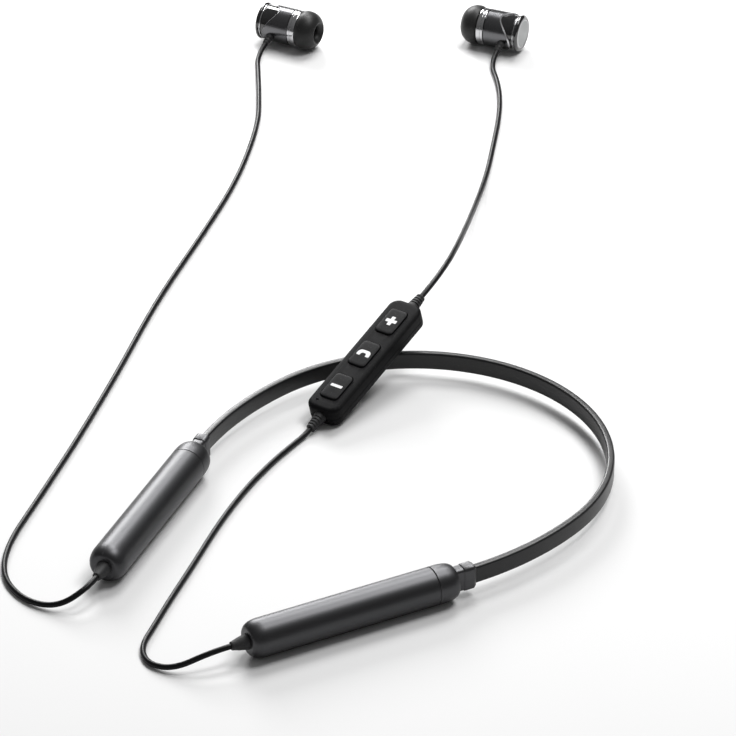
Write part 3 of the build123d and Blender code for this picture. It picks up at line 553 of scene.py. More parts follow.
def tin_plate():
    """The plated metal of the small parts."""
    return finish("Tin plate", (0.66, 0.66, 0.67), 0.25, metal=1.0, streaks=(3000.0, 300.0), depth=0.004 * MM)


def cell_wrap():
    """The battery cell's wrap."""
    return finish("Cell wrap", (0.55, 0.56, 0.58), 0.35, metal=0.9, grain=700.0, depth=0.03 * MM,
                  drift=(300.0, 0.2))


def nickel():
    """The cell's tabs."""
    return finish("Nickel strip", (0.66, 0.62, 0.54), 0.30, metal=1.0, streaks=(4000.0, 200.0), depth=0.004 * MM)


def chassis_plastic():
    """The plastic inside the pods and the plug's tongue."""
    return finish("Chassis plastic", (0.05, 0.05, 0.052), 0.5, grain=3500.0, depth=0.015 * MM)


# The pieces of the frame that stay as they are, and the finish each one gets.
KEPT_PARTS = {
    chassis_plastic: ["left_chassis", "right_chassis", "usb_tongue"],
    board_mask: ["main_board", "battery_board", "remote_board"],
    chip_resin: ["board_chips"],
    tin_plate: [
        "usb_receptacle", "tact_switches", "remote_microphone", "left_wire_anchor", "right_wire_anchor",
        "left_driver", "right_driver",
    ],
    cell_wrap: ["battery_cell"],
    nickel: ["battery_tabs"],
}

# ---------------------------------------------------------------- frames of the pieces


def matrix(origin, x, y, z):
    """A placing matrix from an origin and three axes."""
    rows = Matrix((x, y, z)).transposed().to_4x4()
    rows.translation = origin
    return rows


def middle(node):
    """The middle of a node's box."""
    low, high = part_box(node)
    return (Vector(low) + Vector(high)) / 2


def joint_axis(name):
    """The direction of a joint."""
    return Vector(next(joint["axis"] for joint in frame["joints"] if joint["name"] == name)).normalized()


def level(turn):
    """The level direction at an angle from +X."""
    return Vector((math.cos(turn), math.sin(turn), 0))


def pod_frame(side):
    """A pod's frame: +Z from the band's end to the tip, +X up and +Y to the left pod's port."""
    end, heading = band_half(side, 0.0)[-1]
    return matrix(end, UP, heading.cross(UP), heading)


def remote_frame():
    """The remote's frame: +Y from its lower end to its upper end, +Z out of its face, origin at the lower end."""
    sizes = bpy.context.scene.neckband_remote
    face = -joint_axis("call_press")
    along = (middle("volume_up_button") - middle("volume_down_button")).normalized()
    half_board = 0.4 * MM
    board_middle = -sizes.parting - half_board
    origin = middle("remote_board") - along * sizes.long / 2 - face * board_middle
    return matrix(origin, along.cross(face), along, face)


def bud_frame(side_name):
    """An earbud's frame: +Z to the ear tip and -Y the way its cord leaves."""
    sizes = bpy.context.scene.neckband_buds
    axis = joint_axis(f"{side_name}_tip_pull")
    outward = UP.cross(axis) * SIDES[side_name]
    rise = -outward * math.cos(sizes.roll) + UP * math.sin(sizes.roll)
    half_disc = 0.4 * MM
    back = sizes.body + sizes.trim + sizes.end_ring - half_disc
    origin = middle(f"{side_name}_end_disc") + axis * back
    return matrix(origin, rise.cross(axis), rise, axis)


# ---------------------------------------------------------------- mesh builders


def make_piece(name, verts, faces, material, placing=None, sharp=35.0):
    """A mesh object with outward normals, smooth but for edges sharper than an angle in degrees."""
    mesh = bpy.data.meshes.new(name)
    mesh.from_pydata(verts, [], faces)
    built = bmesh.new()
    built.from_mesh(mesh)
    bmesh.ops.remove_doubles(built, verts=built.verts, dist=TOUCHING)
    bmesh.ops.recalc_face_normals(built, faces=built.faces)
    built.to_mesh(mesh)
    built.free()
    mesh.shade_smooth()
    mesh.set_sharp_from_angle(angle=math.radians(sharp))
    mesh.materials.append(material)
    piece = bpy.data.objects.new(name, mesh)
    bpy.context.scene.collection.objects.link(piece)
    piece.matrix_world = placing or Matrix.Identity(4)
    return piece


def eased(points, closed=True, steps=5):
    """An outline whose corners are rounded: each point is (x, y) or (x, y, rounding)."""
    count = len(points)
    line = []
    for index, point in enumerate(points):
        corner = Vector(point[:2])
        reach = point[2] if len(point) > 2 else 0.0
        if not reach or (not closed and index in (0, count - 1)):
            line.append(corner)
            continue
        before = Vector(points[index - 1][:2]) - corner
        after = Vector(points[(index + 1) % count][:2]) - corner
        start = corner + before.normalized() * min(reach, before.length * 0.49)
        end = corner + after.normalized() * min(reach, after.length * 0.49)
        pull = math.sqrt((1 - before.normalized().dot(after.normalized())) / 2)
        for step in range(steps + 1):
            share = step / steps
            weights = ((1 - share) ** 2, 2 * share * (1 - share) * pull, share**2)
            line.append((start * weights[0] + corner * weights[1] + end * weights[2]) / sum(weights))
    return line


def curve_through(start, first, second, end, steps=10):
    """Points along a cubic curve with two handles."""
    handles = [Vector(point) for point in (start, first, second, end)]
    points = []
    for step in range(steps + 1):
        t = step / steps
        weights = ((1 - t) ** 3, 3 * t * (1 - t) ** 2, 3 * t * t * (1 - t), t**3)
        total = Vector((0, 0))
        for weight, handle in zip(weights, handles):
            total += handle * weight
        points.append(total)
    return points


def divided(line, longest):
    """A line with points added where its runs are longer than a length."""
    points = [line[0]]
    for point in line[1:]:
        run = point - points[-1]
        parts = max(1, math.ceil(run.length / longest))
        start = points[-1]
        points += [start + run * part / parts for part in range(1, parts + 1)]
    return points


def turned(name, profile, placing, material, closed=True, steps=96, sharp=35.0):
    """A piece turned about its own Z from a profile of (radius, height); a radius of 0 makes a pole."""
    verts = []
    rings = []
    for radius, height in profile:
        if radius < 1e-7:
            rings.append([len(verts)])
            verts.append((0.0, 0.0, height))
            continue
        rings.append(list(range(len(verts), len(verts) + steps)))
        for step in range(steps):
            turn = 2 * math.pi * step / steps
            verts.append((radius * math.cos(turn), radius * math.sin(turn), height))
    faces = []
    pairs = list(zip(rings, rings[1:]))
    if closed:
        pairs.append((rings[-1], rings[0]))
    for low, high in pairs:
        for step in range(steps):
            after = (step + 1) % steps
            near = [low[step % len(low)], low[after % len(low)]]
            far = [high[after % len(high)], high[step % len(high)]]
            corners = list(dict.fromkeys(near + far))
            if len(corners) > 2:
                faces.append(corners)
    return make_piece(name, verts, faces, material, placing, sharp)


def round_box(half_x, half_y, corner, steps=10):
    """Gives the outline of a rounded rectangle moved inwards by an inset."""

    def outline(inset):
        reach = max(corner - inset, 0.02 * MM)
        points = []
        for quarter, (sign_x, sign_y) in enumerate(((1, 1), (-1, 1), (-1, -1), (1, -1))):
            centre = Vector((sign_x * (half_x - inset - reach), sign_y * (half_y - inset - reach)))
            for step in range(steps + 1):
                turn = math.pi / 2 * (quarter + step / steps)
                points.append(centre + reach * Vector((math.cos(turn), math.sin(turn))))
        return points

    return outline


def stacked(name, outline, levels, placing, material, sharp=35.0, bend=None):
    """A piece stacked from one outline at levels of (inset, height), closed at both ends."""
    verts = []
    rings = []
    for inset, height in levels:
        points = outline(inset)
        rings.append(range(len(verts), len(verts) + len(points)))
        verts += [(point.x, point.y, height) for point in points]
    if bend:
        verts = [bend(*vert) for vert in verts]
    count = len(rings[0])
    faces = [list(rings[0]), list(rings[-1])]
    for low, high in zip(rings, rings[1:]):
        for step in range(count):
            after = (step + 1) % count
            faces.append([low[step], low[after], high[after], high[step]])
    return make_piece(name, verts, faces, material, placing, sharp)


def round_over(inset, height, reach, rise, steps=6):
    """Levels that round an edge over, from the side at one inset to the face."""
    levels = []
    for step in range(steps + 1):
        turn = math.pi / 2 * step / steps
        levels.append((inset + reach * (1 - math.cos(turn)), height + rise * math.sin(turn)))
    return levels


def cut(piece, cutters, sharp=35.0):
    """Cuts other pieces out of a piece for good, and removes them."""
    for cutter in cutters:
        step = piece.modifiers.new(cutter.name, "BOOLEAN")
        step.operation = "DIFFERENCE"
        step.solver = "EXACT"
        step.object = cutter
    bpy.context.view_layer.update()
    graph = bpy.context.evaluated_depsgraph_get()
    mesh = bpy.data.meshes.new_from_object(piece.evaluated_get(graph))
    piece.modifiers.clear()
    old = piece.data
    piece.data = mesh
    bpy.data.meshes.remove(old)
    for cutter in cutters:
        bpy.data.objects.remove(cutter)
    mesh.name = piece.name
    mesh.shade_smooth()
    mesh.set_sharp_from_angle(angle=math.radians(sharp))
    return piece


def swept(name, line, section, material, sharp=35.0):
    """A piece with a constant section along a line of (point, heading, side, rise)."""
    verts = []
    for point, _, side, rise in line:
        verts += [point + side * across + rise * lift for across, lift in section]
    count = len(section)
    faces = [list(range(count)), list(range(len(verts) - count, len(verts)))]
    for ring in range(len(line) - 1):
        for step in range(count):
            after = (step + 1) % count
            low = ring * count
            faces.append([low + step, low + after, low + count + after, low + count + step])
    return make_piece(name, verts, faces, material, None, sharp)


def settle(piece, body, slot, *nodes):
    """Puts a piece on its body and hides the nodes it stands for; the slot is not used."""
    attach(piece, body)
    if nodes:
        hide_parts(*nodes)


# ---------------------------------------------------------------- neckband


def band_half(side, tail):
    """Points and headings along half of the band, from the crown's apex to the pod, at the band's middle height."""
    sizes = bpy.context.scene.neckband_band
    height = Vector((0, 0, bpy.context.scene.neckband_pods.radius))
    stations = []
    crown_steps = 96
    side_steps = 40
    for step in range(crown_steps + 1):
        turn = sizes.crown_half * step / crown_steps
        stations.append((level(math.pi / 2 - turn) * sizes.crown_radius, level(-turn)))
    centre = level(math.pi / 2 - sizes.crown_half) * (sizes.crown_radius - sizes.side_radius)
    for step in range(1, side_steps + 1):
        turn = sizes.crown_half + sizes.side_turn * step / side_steps
        stations.append((centre + level(math.pi / 2 - turn) * sizes.side_radius, level(-turn)))
    if tail:
        point, heading = stations[-1]
        stations.append((point + heading * tail, heading))
    mirror = Vector((side, 1, 1))
    return [(point * mirror + height, heading * mirror) for point, heading in stations]


def along_band(side, tail, lift):
    """Stations along half of the band at a height above its middle."""
    return [(point + UP * lift, heading, heading.cross(UP), UP) for point, heading in band_half(side, tail)]


def bend_with_arm(piece, side_name, slot, *nodes):
    """Bakes half of a band piece where it stands and hides the nodes it stands for."""
    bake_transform(piece)
    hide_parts(*nodes)


def circle(radius, steps=16):
    """A round section."""
    return [
        (radius * math.cos(2 * math.pi * step / steps), radius * math.sin(2 * math.pi * step / steps))
        for step in range(steps)
    ]


class NECKBAND_OT_band(bpy.types.Operator):
    """Build the springy band, its wire and its leads, each in two halves"""

    bl_idname = "neckband.band"
    bl_label = "Neckband"

    def execute(self, context):
        sizes = context.scene.neckband_band
        section = round_box(sizes.thickness / 2, sizes.height / 2, sizes.edge, 6)(0)
        wire_end = sizes.tail + 3.5 * MM
        lead_end = sizes.tail + 8.2 * MM
        lead_lifts = (-0.8 * MM, -1.6 * MM)
        for side_name, side in SIDES.items():
            sleeve = swept(f"band_{side_name}_half", along_band(side, sizes.tail, 0), section, band_rubber())
            bend_with_arm(sleeve, side_name, "band_rubber", "neckband_sleeve")
            wire_line = along_band(side, wire_end, sizes.wire_lift)
            wire = swept(f"wire_{side_name}_half", wire_line, circle(sizes.wire / 2), spring_steel())
            bend_with_arm(wire, side_name, "memory_metal", "memory_wire")
            for number, lift in enumerate(lead_lifts, 1):
                lead_line = along_band(side, lead_end, lift)
                lead = swept(f"lead_{number}_{side_name}_half", lead_line, circle(sizes.lead / 2, 12), lead_jacket())
                bend_with_arm(lead, side_name, "copper_leads", "band_leads")
        return {"FINISHED"}


# ---------------------------------------------------------------- pods


def collar_levels(pods):
    """The collar's levels: a chamfered end round the band and a slightly slimmer shank into the cap."""
    start = -pods.collar_reach
    waist = pods.collar * 0.40
    return [
        (0.85 * MM, start),
        (0.72 * MM, start + 0.02 * MM),
        (0.10 * MM, start + 0.75 * MM),
        (0.0, start + 0.90 * MM),
        (0.0, waist - 0.15 * MM),
        (0.06 * MM, waist),
        (0.26 * MM, waist + 0.3 * MM),
        (0.28 * MM, pods.collar + 0.6 * MM),
    ]


class NECKBAND_OT_pods(bpy.types.Operator):
    """Build both pods: tube, domed cap, collar and cord gland"""

    bl_idname = "neckband.pods"
    bl_label = "Pods"

    def execute(self, context):
        for side_name, side in SIDES.items():
            self.build(context.scene, side_name, side)
        return {"FINISHED"}

    def build(self, scene, side_name, side):
        """One pod, in its own frame."""
        pods = scene.neckband_pods
        band = scene.neckband_band
        placing = pod_frame(side)
        arm = f"{side_name}_arm"
        settle(self.tube(pods, placing, side_name), arm, "gunmetal", f"{side_name}_pod_shell")
        settle(self.cap(pods, placing, side_name), arm, "gunmetal", f"{side_name}_pod_cap")
        half_height = band.height / 2 + pods.collar_wall
        half_thickness = band.thickness / 2 + pods.collar_wall
        outline = round_box(half_height, half_thickness, 1.4 * MM, 8)
        collar = stacked(f"{side_name}_collar_sleeve", outline, collar_levels(pods), placing, collar_metal(), 25.0)
        settle(collar, arm, "dark_metal", f"{side_name}_collar")
        gland = cord_gland(
            f"{side_name}_pod_relief", placing @ Matrix.Translation((0, 0, pods.tip)), 2.5 * MM, 1.35 * MM,
            pods.gland, 0, 1.0 * MM,
        )
        settle(gland, arm, "soft_rubber", f"{side_name}_pod_gland")

    def tube(self, pods, placing, side_name):
        """The drawn tube with its rounded end; the left one has the port's opening."""
        inner = pods.radius - pods.wall
        hole = 1.4 * MM
        outer_line = [
            (pods.radius - 0.2 * MM, pods.seam),
            (pods.radius, pods.seam + 0.2 * MM, 0.08 * MM),
            (pods.radius, pods.tip, pods.tip_round),
            (hole, pods.tip),
            (hole, pods.tip - pods.wall),
            (inner, pods.tip - pods.wall, pods.tip_round - pods.wall),
            (inner, pods.seam),
        ]
        profile = divided(eased(outer_line, steps=14), 1.5 * MM)
        shell = turned(f"{side_name}_pod_tube", profile, placing, gunmetal(), steps=128)
        if side_name == "left":
            opening = round_box(pods.port_long / 2, pods.port_wide / 2, pods.port_wide / 2, 12)
            levels = [(0.0, 2.0 * MM), (0.0, pods.radius - 0.5 * MM), (-0.12 * MM, pods.radius + 1.0 * MM)]
            cutter = stacked("port_cutter", opening, levels, placing @ port_placing(pods), gunmetal())
            shell = cut(shell, [cutter])
        return shell

    def cap(self, pods, placing, side_name):
        """The domed cap with its flat mouth, chamfered at the seam, and its spigot."""
        spigot = pods.radius - pods.wall - 0.05 * MM
        bore = spigot - 0.7 * MM
        dome = curve_through(
            (pods.mouth - 0.1 * MM, pods.collar),
            (pods.radius - 0.6 * MM, pods.collar + 0.4 * MM),
            (pods.radius, pods.collar + 2.0 * MM),
            (pods.radius, pods.seam - 2.2 * MM),
            16,
        )
        back = [
            (pods.radius, pods.seam - 0.2 * MM),
            (pods.radius - 0.2 * MM, pods.seam),
            (spigot, pods.seam),
            (spigot, pods.seam + 3.0 * MM),
            (bore, pods.seam + 3.0 * MM),
            (bore, pods.collar + 1.6 * MM),
            (0, pods.collar + 1.6 * MM),
            (0, pods.collar),
        ]
        profile = divided(dome + [Vector(point) for point in back], 1.5 * MM)
        return turned(f"{side_name}_pod_dome", profile, placing, gunmetal(), steps=128)


def port_placing(pods):
    """The port's frame in the pod's: +X along the pod and +Z out through the wall."""
    return matrix(Vector((0, 0, pods.port_middle)), UP, Vector((1, 0, 0)), Vector((0, 1, 0)))


def cord_gland(name, placing, root, tip, reach, ribs, tuck):
    """A tapered strain relief on its own +Z, with grooves between its ribs."""
    profile = [(0, -tuck), (root - 0.3 * MM, -tuck), (root, -tuck * 0.3), (root, 0.35 * MM)]
    rib_start = 0.16 * reach
    rib_end = 0.88 * reach
    for rib in range(ribs):
        for share, dip in ((0.0, 0.0), (0.45, 0.0), (0.55, 0.28), (0.95, 0.28)):
            height = rib_start + (rib_end - rib_start) * (rib + share) / ribs
            radius = root + (tip - root) * height / reach
            profile.append((radius - dip * MM, height))
    if not ribs:
        profile += [(root * 0.97, 0.5 * MM), (root + (tip - root) * 0.5, reach * 0.55)]
    profile += [(tip + 0.03 * MM, reach - 0.5 * MM), (tip, reach - 0.15 * MM), (tip - 0.15 * MM, reach), (0, reach)]
    return turned(name, profile, placing, relief_rubber(), steps=48, sharp=50.0)


class NECKBAND_OT_port_cover(bpy.types.Operator):
    """Build the rubber cover of the charging port, bent to the pod's round side, with its pull lip"""

    bl_idname = "neckband.port_cover"
    bl_label = "Port cover"

    def execute(self, context):
        pods = context.scene.neckband_pods
        placing = pod_frame(1) @ port_placing(pods)
        gap = 0.15 * MM

        def bend(along, across, rise):
            """Wraps the flat cover round the pod."""
            turn = across / pods.radius
            reach = pods.radius + rise
            return (along, reach * math.sin(turn), reach * math.cos(turn))

        outline = round_box(pods.port_long / 2 - gap, pods.port_wide / 2 - gap, pods.port_wide / 2 - gap, 12)
        steps = [0.45 * number * MM for number in range(1, 5)]
        under = [(inset, -0.85 * MM) for inset in reversed(steps)]
        over = [(inset, 0.0) for inset in steps]
        edge = [(0.0, -0.85 * MM), (0.0, -0.15 * MM), (0.05 * MM, -0.04 * MM), (0.15 * MM, 0.0)]
        cover = stacked("port_cover_skin", outline, under + edge + over, placing, relief_rubber(), 50.0, bend)
        settle(cover, "port_flap", "soft_rubber", "port_cover")
        lip_outline = round_box(0.45 * MM, 1.1 * MM, 0.44 * MM, 6)
        lip_levels = [(0.0, -0.1 * MM), (0.0, 0.12 * MM), (0.1 * MM, 0.22 * MM), (0.3 * MM, 0.25 * MM)]
        lip_placing = placing @ Matrix.Translation((-pods.port_long / 2 + 1.5 * MM, 0, 0))
        lip = stacked("port_cover_lip", lip_outline, lip_levels, lip_placing, relief_rubber(), 50.0, bend)
        settle(lip, "port_flap", "soft_rubber")
        return {"FINISHED"}


# ---------------------------------------------------------------- remote


class NECKBAND_OT_remote(bpy.types.Operator):
    """Build the remote's two case halves, with the button wells and the microphone hole, and its ribbed glands"""

    bl_idname = "neckband.remote"
    bl_label = "Remote case"

    def execute(self, context):
        sizes = context.scene.neckband_remote
        placing = remote_frame()
        centred = placing @ Matrix.Translation((0, sizes.long / 2, 0))
        outline = round_box(sizes.wide / 2, sizes.long / 2, sizes.corner, 14)
        front = sizes.thick / 2
        groove = [(0.9 * MM, 0), (0.14 * MM, 0), (0.0, 0.14 * MM)]
        face_levels = [(inset, -sizes.parting + rise) for inset, rise in groove]
        face_levels += round_over(0.0, front - sizes.edge, sizes.edge, sizes.edge, 9)
        face_levels.append((sizes.edge + 0.5 * MM, front + 0.02 * MM))
        back_levels = [(inset, -sizes.parting - rise) for inset, rise in groove]
        back_levels += round_over(0.0, -front + sizes.edge, sizes.edge, -sizes.edge, 9)
        case = stacked("remote_face", outline, face_levels, centred, case_matte())
        cutters = [self.well(sizes, placing, along) for along in button_places(sizes)]
        hole = [
            (0, front - 1.5 * MM), (0.38 * MM, front - 1.5 * MM), (0.38 * MM, front - 0.1 * MM),
            (0.6 * MM, front + 0.2 * MM), (0, front + 0.2 * MM),
        ]
        microphone = placing @ Matrix.Translation((-2.8 * MM, 3.3 * MM, 0))
        cutters.append(turned("microphone_cutter", hole, microphone, case_matte(), steps=24))
        case = cut(case, cutters)
        settle(case, "neckband", "black_matte", "remote_front_shell")
        back = stacked("remote_back", outline, back_levels, centred, case_matte())
        settle(back, "neckband", "black_matte", "remote_back_shell")
        ends = {
            "remote_lower": matrix(Vector((0, 0, 0)), Vector((1, 0, 0)), UP, Vector((0, -1, 0))),
            "remote_upper": matrix(Vector((0, sizes.long, 0)), Vector((-1, 0, 0)), UP, Vector((0, 1, 0))),
        }
        for name, end in ends.items():
            relief = cord_gland(f"{name}_relief", placing @ end, 2.1 * MM, 1.5 * MM, sizes.gland, 4, 0.8 * MM)
            settle(relief, "neckband", "soft_rubber", f"{name}_gland")
        return {"FINISHED"}

    def well(self, sizes, placing, along):
        """The cutter of one button's well, flared at the face."""
        gap = 0.12 * MM
        floor = 1.4 * MM
        front = sizes.thick / 2
        outline = round_box(sizes.button_wide / 2 + gap, sizes.button_long / 2 + gap, sizes.button_corner + gap, 12)
        levels = [(0.0, floor), (0.0, front - 0.10 * MM), (-0.3 * MM, front + 0.20 * MM)]
        return stacked("well_cutter", outline, levels, placing @ Matrix.Translation((0, along, 0)), case_matte())


def button_places(sizes):
    """Where the buttons stand along the remote, from its lower end."""
    pitch = 16.0 * MM
    return [sizes.long / 2 + step * pitch for step in (-1, 0, 1)]


def bar_outline(half_x, half_y):
    """A short bar's outline."""
    return round_box(half_x, half_y, 0.18 * MM, 4)(0)


def handset_outline():
    """A telephone handset's outline: a thick arch with flared ends, pointing to the remote's lower end."""
    half = [
        (0.0, 1.35), (1.45, 1.30, 0.5), (2.30, 0.55, 0.6), (2.38, -1.20, 0.25), (1.05, -1.25, 0.2),
        (0.95, -0.35, 0.3), (0.55, 0.12, 0.3), (0.0, 0.15),
    ]
    mirrored = [(-point[0], *point[1:]) for point in reversed(half[1:-1])]
    return eased([tuple(value * MM for value in point) for point in half + mirrored])


def plate(name, outline, placing, low, high, material):
    """A thin plate from an outline."""
    count = len(outline)
    verts = [(x, y, low) for x, y in outline] + [(x, y, high) for x, y in outline]
    faces = [list(range(count)), list(range(count, 2 * count))]
    faces += [[step, (step + 1) % count, count + (step + 1) % count, count + step] for step in range(count)]
    return make_piece(name, verts, faces, material, placing)


class NECKBAND_OT_buttons(bpy.types.Operator):
    """Build the three buttons of the remote and the signs printed on them"""

    bl_idname = "neckband.buttons"
    bl_label = "Buttons"

    def execute(self, context):
        sizes = context.scene.neckband_remote
        placing = remote_frame()
        top = sizes.thick / 2 + sizes.button_proud
        outline = round_box(sizes.button_wide / 2, sizes.button_long / 2, sizes.button_corner, 12)
        bottom = 1.90 * MM  # above the well's floor by more than the travel
        levels = [(0.0, bottom)]
        levels += round_over(0.0, top - 0.40 * MM, 0.45 * MM, 0.40 * MM, 6)
        levels += [(0.75 * MM, top + 0.035 * MM), (1.05 * MM, top + 0.05 * MM)]
        signs = {
            "volume_down": [bar_outline(2.1 * MM, 0.55 * MM)],
            "call": [handset_outline()],
            "volume_up": [bar_outline(1.98 * MM, 0.66 * MM), bar_outline(0.66 * MM, 1.98 * MM)],
        }
        for (name, outlines), along in zip(signs.items(), button_places(sizes)):
            here = placing @ Matrix.Translation((0, along, 0))
            key = stacked(f"{name}_key", outline, levels, here, button_matte(), 40.0)
            settle(key, name, "button_black", f"{name}_button")
            for number, sign in enumerate(outlines, 1):
                low = top + 0.03 * MM
                high = top + (0.085 + 0.004 * number) * MM
                mark = plate(f"{name}_sign_{number}", sign, here, low, high, mark_print())
                settle(mark, name, "button_black")
        return {"FINISHED"}


# ---------------------------------------------------------------- earbuds


class NECKBAND_OT_earbuds(bpy.types.Operator):
    """Build both earbuds: polished ring, nozzle, notched sleeve, gloss body, trim, end ring, disc and gland"""

    bl_idname = "neckband.earbuds"
    bl_label = "Earbuds"

    def execute(self, context):
        buds = context.scene.neckband_buds
        for side_name in SIDES:
            placing = bud_frame(side_name)
            for piece, slot, node in self.pieces(buds, placing, side_name):
                settle(piece, "neckband", slot, f"{side_name}_{node}")
        return {"FINISHED"}

    def pieces(self, buds, placing, side_name):
        """Every rigid piece of one earbud with its slot and its node."""
        bore = buds.radius - buds.skin
        body = bore - 0.05 * MM
        back_of_trim = buds.body + buds.trim
        back = back_of_trim + buds.end_ring
        ring = eased([
            (bore, 0), (buds.radius, 0, 0.5 * MM), (buds.radius, -1.55 * MM, 0.05 * MM),
            (buds.radius - 0.13 * MM, -1.64 * MM), (buds.radius - 0.13 * MM, -1.74 * MM),
            (buds.radius, -1.83 * MM, 0.05 * MM), (buds.radius, -buds.ring, 0.14 * MM), (bore, -buds.ring),
        ])
        yield turned(f"{side_name}_bright_ring", ring, placing, chrome(), sharp=50.0), "chrome_trim", "front_ring"
        front = eased([
            (0, -buds.ring), (body, -buds.ring), (body, 0), (5.2 * MM, 0.12 * MM, 0.3 * MM),
            (buds.nozzle_radius + 0.4 * MM, 0.14 * MM, 0.3 * MM), (buds.nozzle_radius, 0.6 * MM, 0.2 * MM),
            (buds.nozzle_radius, 2.6 * MM), (buds.nozzle_radius + 0.02 * MM, 3.2 * MM, 0.3 * MM),
            (buds.nozzle_radius, buds.nozzle, 0.2 * MM), (1.75 * MM, buds.nozzle, 0.1 * MM),
            (1.7 * MM, buds.nozzle - 0.8 * MM), (0, buds.nozzle - 0.8 * MM),
        ])
        yield turned(f"{side_name}_nozzle_front", front, placing, case_matte()), "black_matte", "front_housing"
        weave = [
            (0, buds.nozzle - 0.75 * MM), (1.68 * MM, buds.nozzle - 0.75 * MM), (1.68 * MM, buds.nozzle - 0.45 * MM),
            (1.2 * MM, buds.nozzle - 0.36 * MM), (0.6 * MM, buds.nozzle - 0.31 * MM), (0, buds.nozzle - 0.3 * MM),
        ]
        yield turned(f"{side_name}_mesh_disc", weave, placing, woven_steel()), "mesh_steel", "nozzle_mesh"
        yield self.sleeve(buds, placing, side_name), "gunmetal", "bud_sleeve"
        gloss = eased([
            (body - 0.8 * MM, -buds.ring), (body, -buds.ring), (body, -buds.body + 0.05 * MM, 0.25 * MM),
            (body - 0.1 * MM, -buds.body), (body - 0.8 * MM, -buds.body),
        ])
        yield turned(f"{side_name}_gloss_body", gloss, placing, gloss_black()), "black_gloss", "bud_body"
        trim = eased([
            (buds.disc - 0.6 * MM, -buds.body), (body - 0.25 * MM, -buds.body),
            (body + 0.3 * MM, -buds.body - 0.22 * MM, 0.15 * MM),
            (body + 0.3 * MM, -back_of_trim + 0.15 * MM, 0.12 * MM), (body - 0.05 * MM, -back_of_trim),
            (buds.disc - 0.6 * MM, -back_of_trim),
        ])
        yield turned(f"{side_name}_bright_trim", trim, placing, chrome(), sharp=50.0), "chrome_trim", "trim_ring"
        seat = buds.disc + 0.05 * MM
        end = eased([
            (0, -back_of_trim), (buds.radius - 0.35 * MM, -back_of_trim),
            (buds.radius, -back_of_trim - 0.35 * MM, 0.2 * MM), (buds.radius, -back + 0.55 * MM, 0.3 * MM),
            (seat + 0.5 * MM, -back, 0.25 * MM), (seat, -back + 0.02 * MM), (seat, -back + 0.7 * MM),
            (0, -back + 0.7 * MM),
        ])
        yield turned(f"{side_name}_gloss_end", end, placing, gloss_black()), "black_gloss", "end_ring"
        disc = [Vector((0, -back + 0.7 * MM)), Vector((buds.disc, -back + 0.7 * MM))]
        rim = [
            (buds.disc, -back + 0.7 * MM), (buds.disc, -back + 0.05 * MM, 0.2 * MM),
            (buds.disc - 0.35 * MM, -back - 0.02 * MM, 0.1 * MM),
        ]
        disc += eased(rim, closed=False)[1:]
        crown = [(buds.disc - 0.45 * MM, -back + 0.06 * MM), (2.6 * MM, -back + 0.02 * MM), (0, -back)]
        disc += [Vector(point) for point in crown]
        face = turned(f"{side_name}_brushed_disc", disc, placing, disc_metal())
        face.data.materials.append(bright_edge())
        for polygon in face.data.polygons:
            if polygon.center.xy.length > buds.disc - 0.5 * MM:
                polygon.material_index = 1
        yield face, "disc_alu", "end_disc"
        side_ways = matrix(
            Vector((0, -buds.radius + 0.15 * MM, -buds.gland_back)), Vector((1, 0, 0)), UP, Vector((0, -1, 0))
        )
        gland = cord_gland(
            f"{side_name}_bud_relief", placing @ side_ways, 1.5 * MM, 1.15 * MM, buds.gland + 0.15 * MM, 2, 0.6 * MM
        )
        yield gland, "soft_rubber", "bud_gland"

    def sleeve(self, buds, placing, side_name):
        """The satin sleeve: a tube whose rear edge is notched on both sides and chamfered bright."""
        steps = 144
        rows = 12
        start = -buds.ring - 0.3 * MM
        bore = buds.radius - buds.skin
        chamfer = 0.42 * MM
        soft = 0.42  # how far the notch's points are rounded

        def rear(turn):
            """The rear edge's height at an angle."""
            rise = math.hypot(soft, math.sin(turn)) - soft
            return -(buds.sleeve - buds.notch) - buds.notch * rise / (math.hypot(soft, 1) - soft)

        shape = [(bore, 0.0, 0.0), (buds.radius - 0.12 * MM, 0.0, 0.0), (buds.radius, 0.0, 0.12 * MM)]
        shape += [(buds.radius, row / rows, 0.0) for row in range(1, rows)]
        shape += [(buds.radius, 1.0, chamfer), (buds.radius - chamfer, 1.0, 0.0), (bore, 1.0, 0.0)]
        verts = []
        for radius, share, lift in shape:
            for step in range(steps):
                turn = 2 * math.pi * step / steps
                down = start + (rear(turn) - start) * share
                height = down - lift if share == 0.0 else down + lift
                verts.append((radius * math.cos(turn), radius * math.sin(turn), height))
        rings = len(shape)
        faces = []
        for ring in range(rings):
            for step in range(steps):
                after = (step + 1) % steps
                low, high = ring * steps, (ring + 1) % rings * steps
                faces.append([low + step, low + after, high + after, high + step])
        piece = make_piece(f"{side_name}_satin_sleeve", verts, faces, bud_metal(), placing, 30.0)
        piece.data.materials.append(bright_edge())
        bright_ring = rings - 3
        for face in piece.data.polygons:
            if all(vert // steps in (bright_ring, bright_ring + 1) for vert in face.vertices):
                face.material_index = 1
        return piece


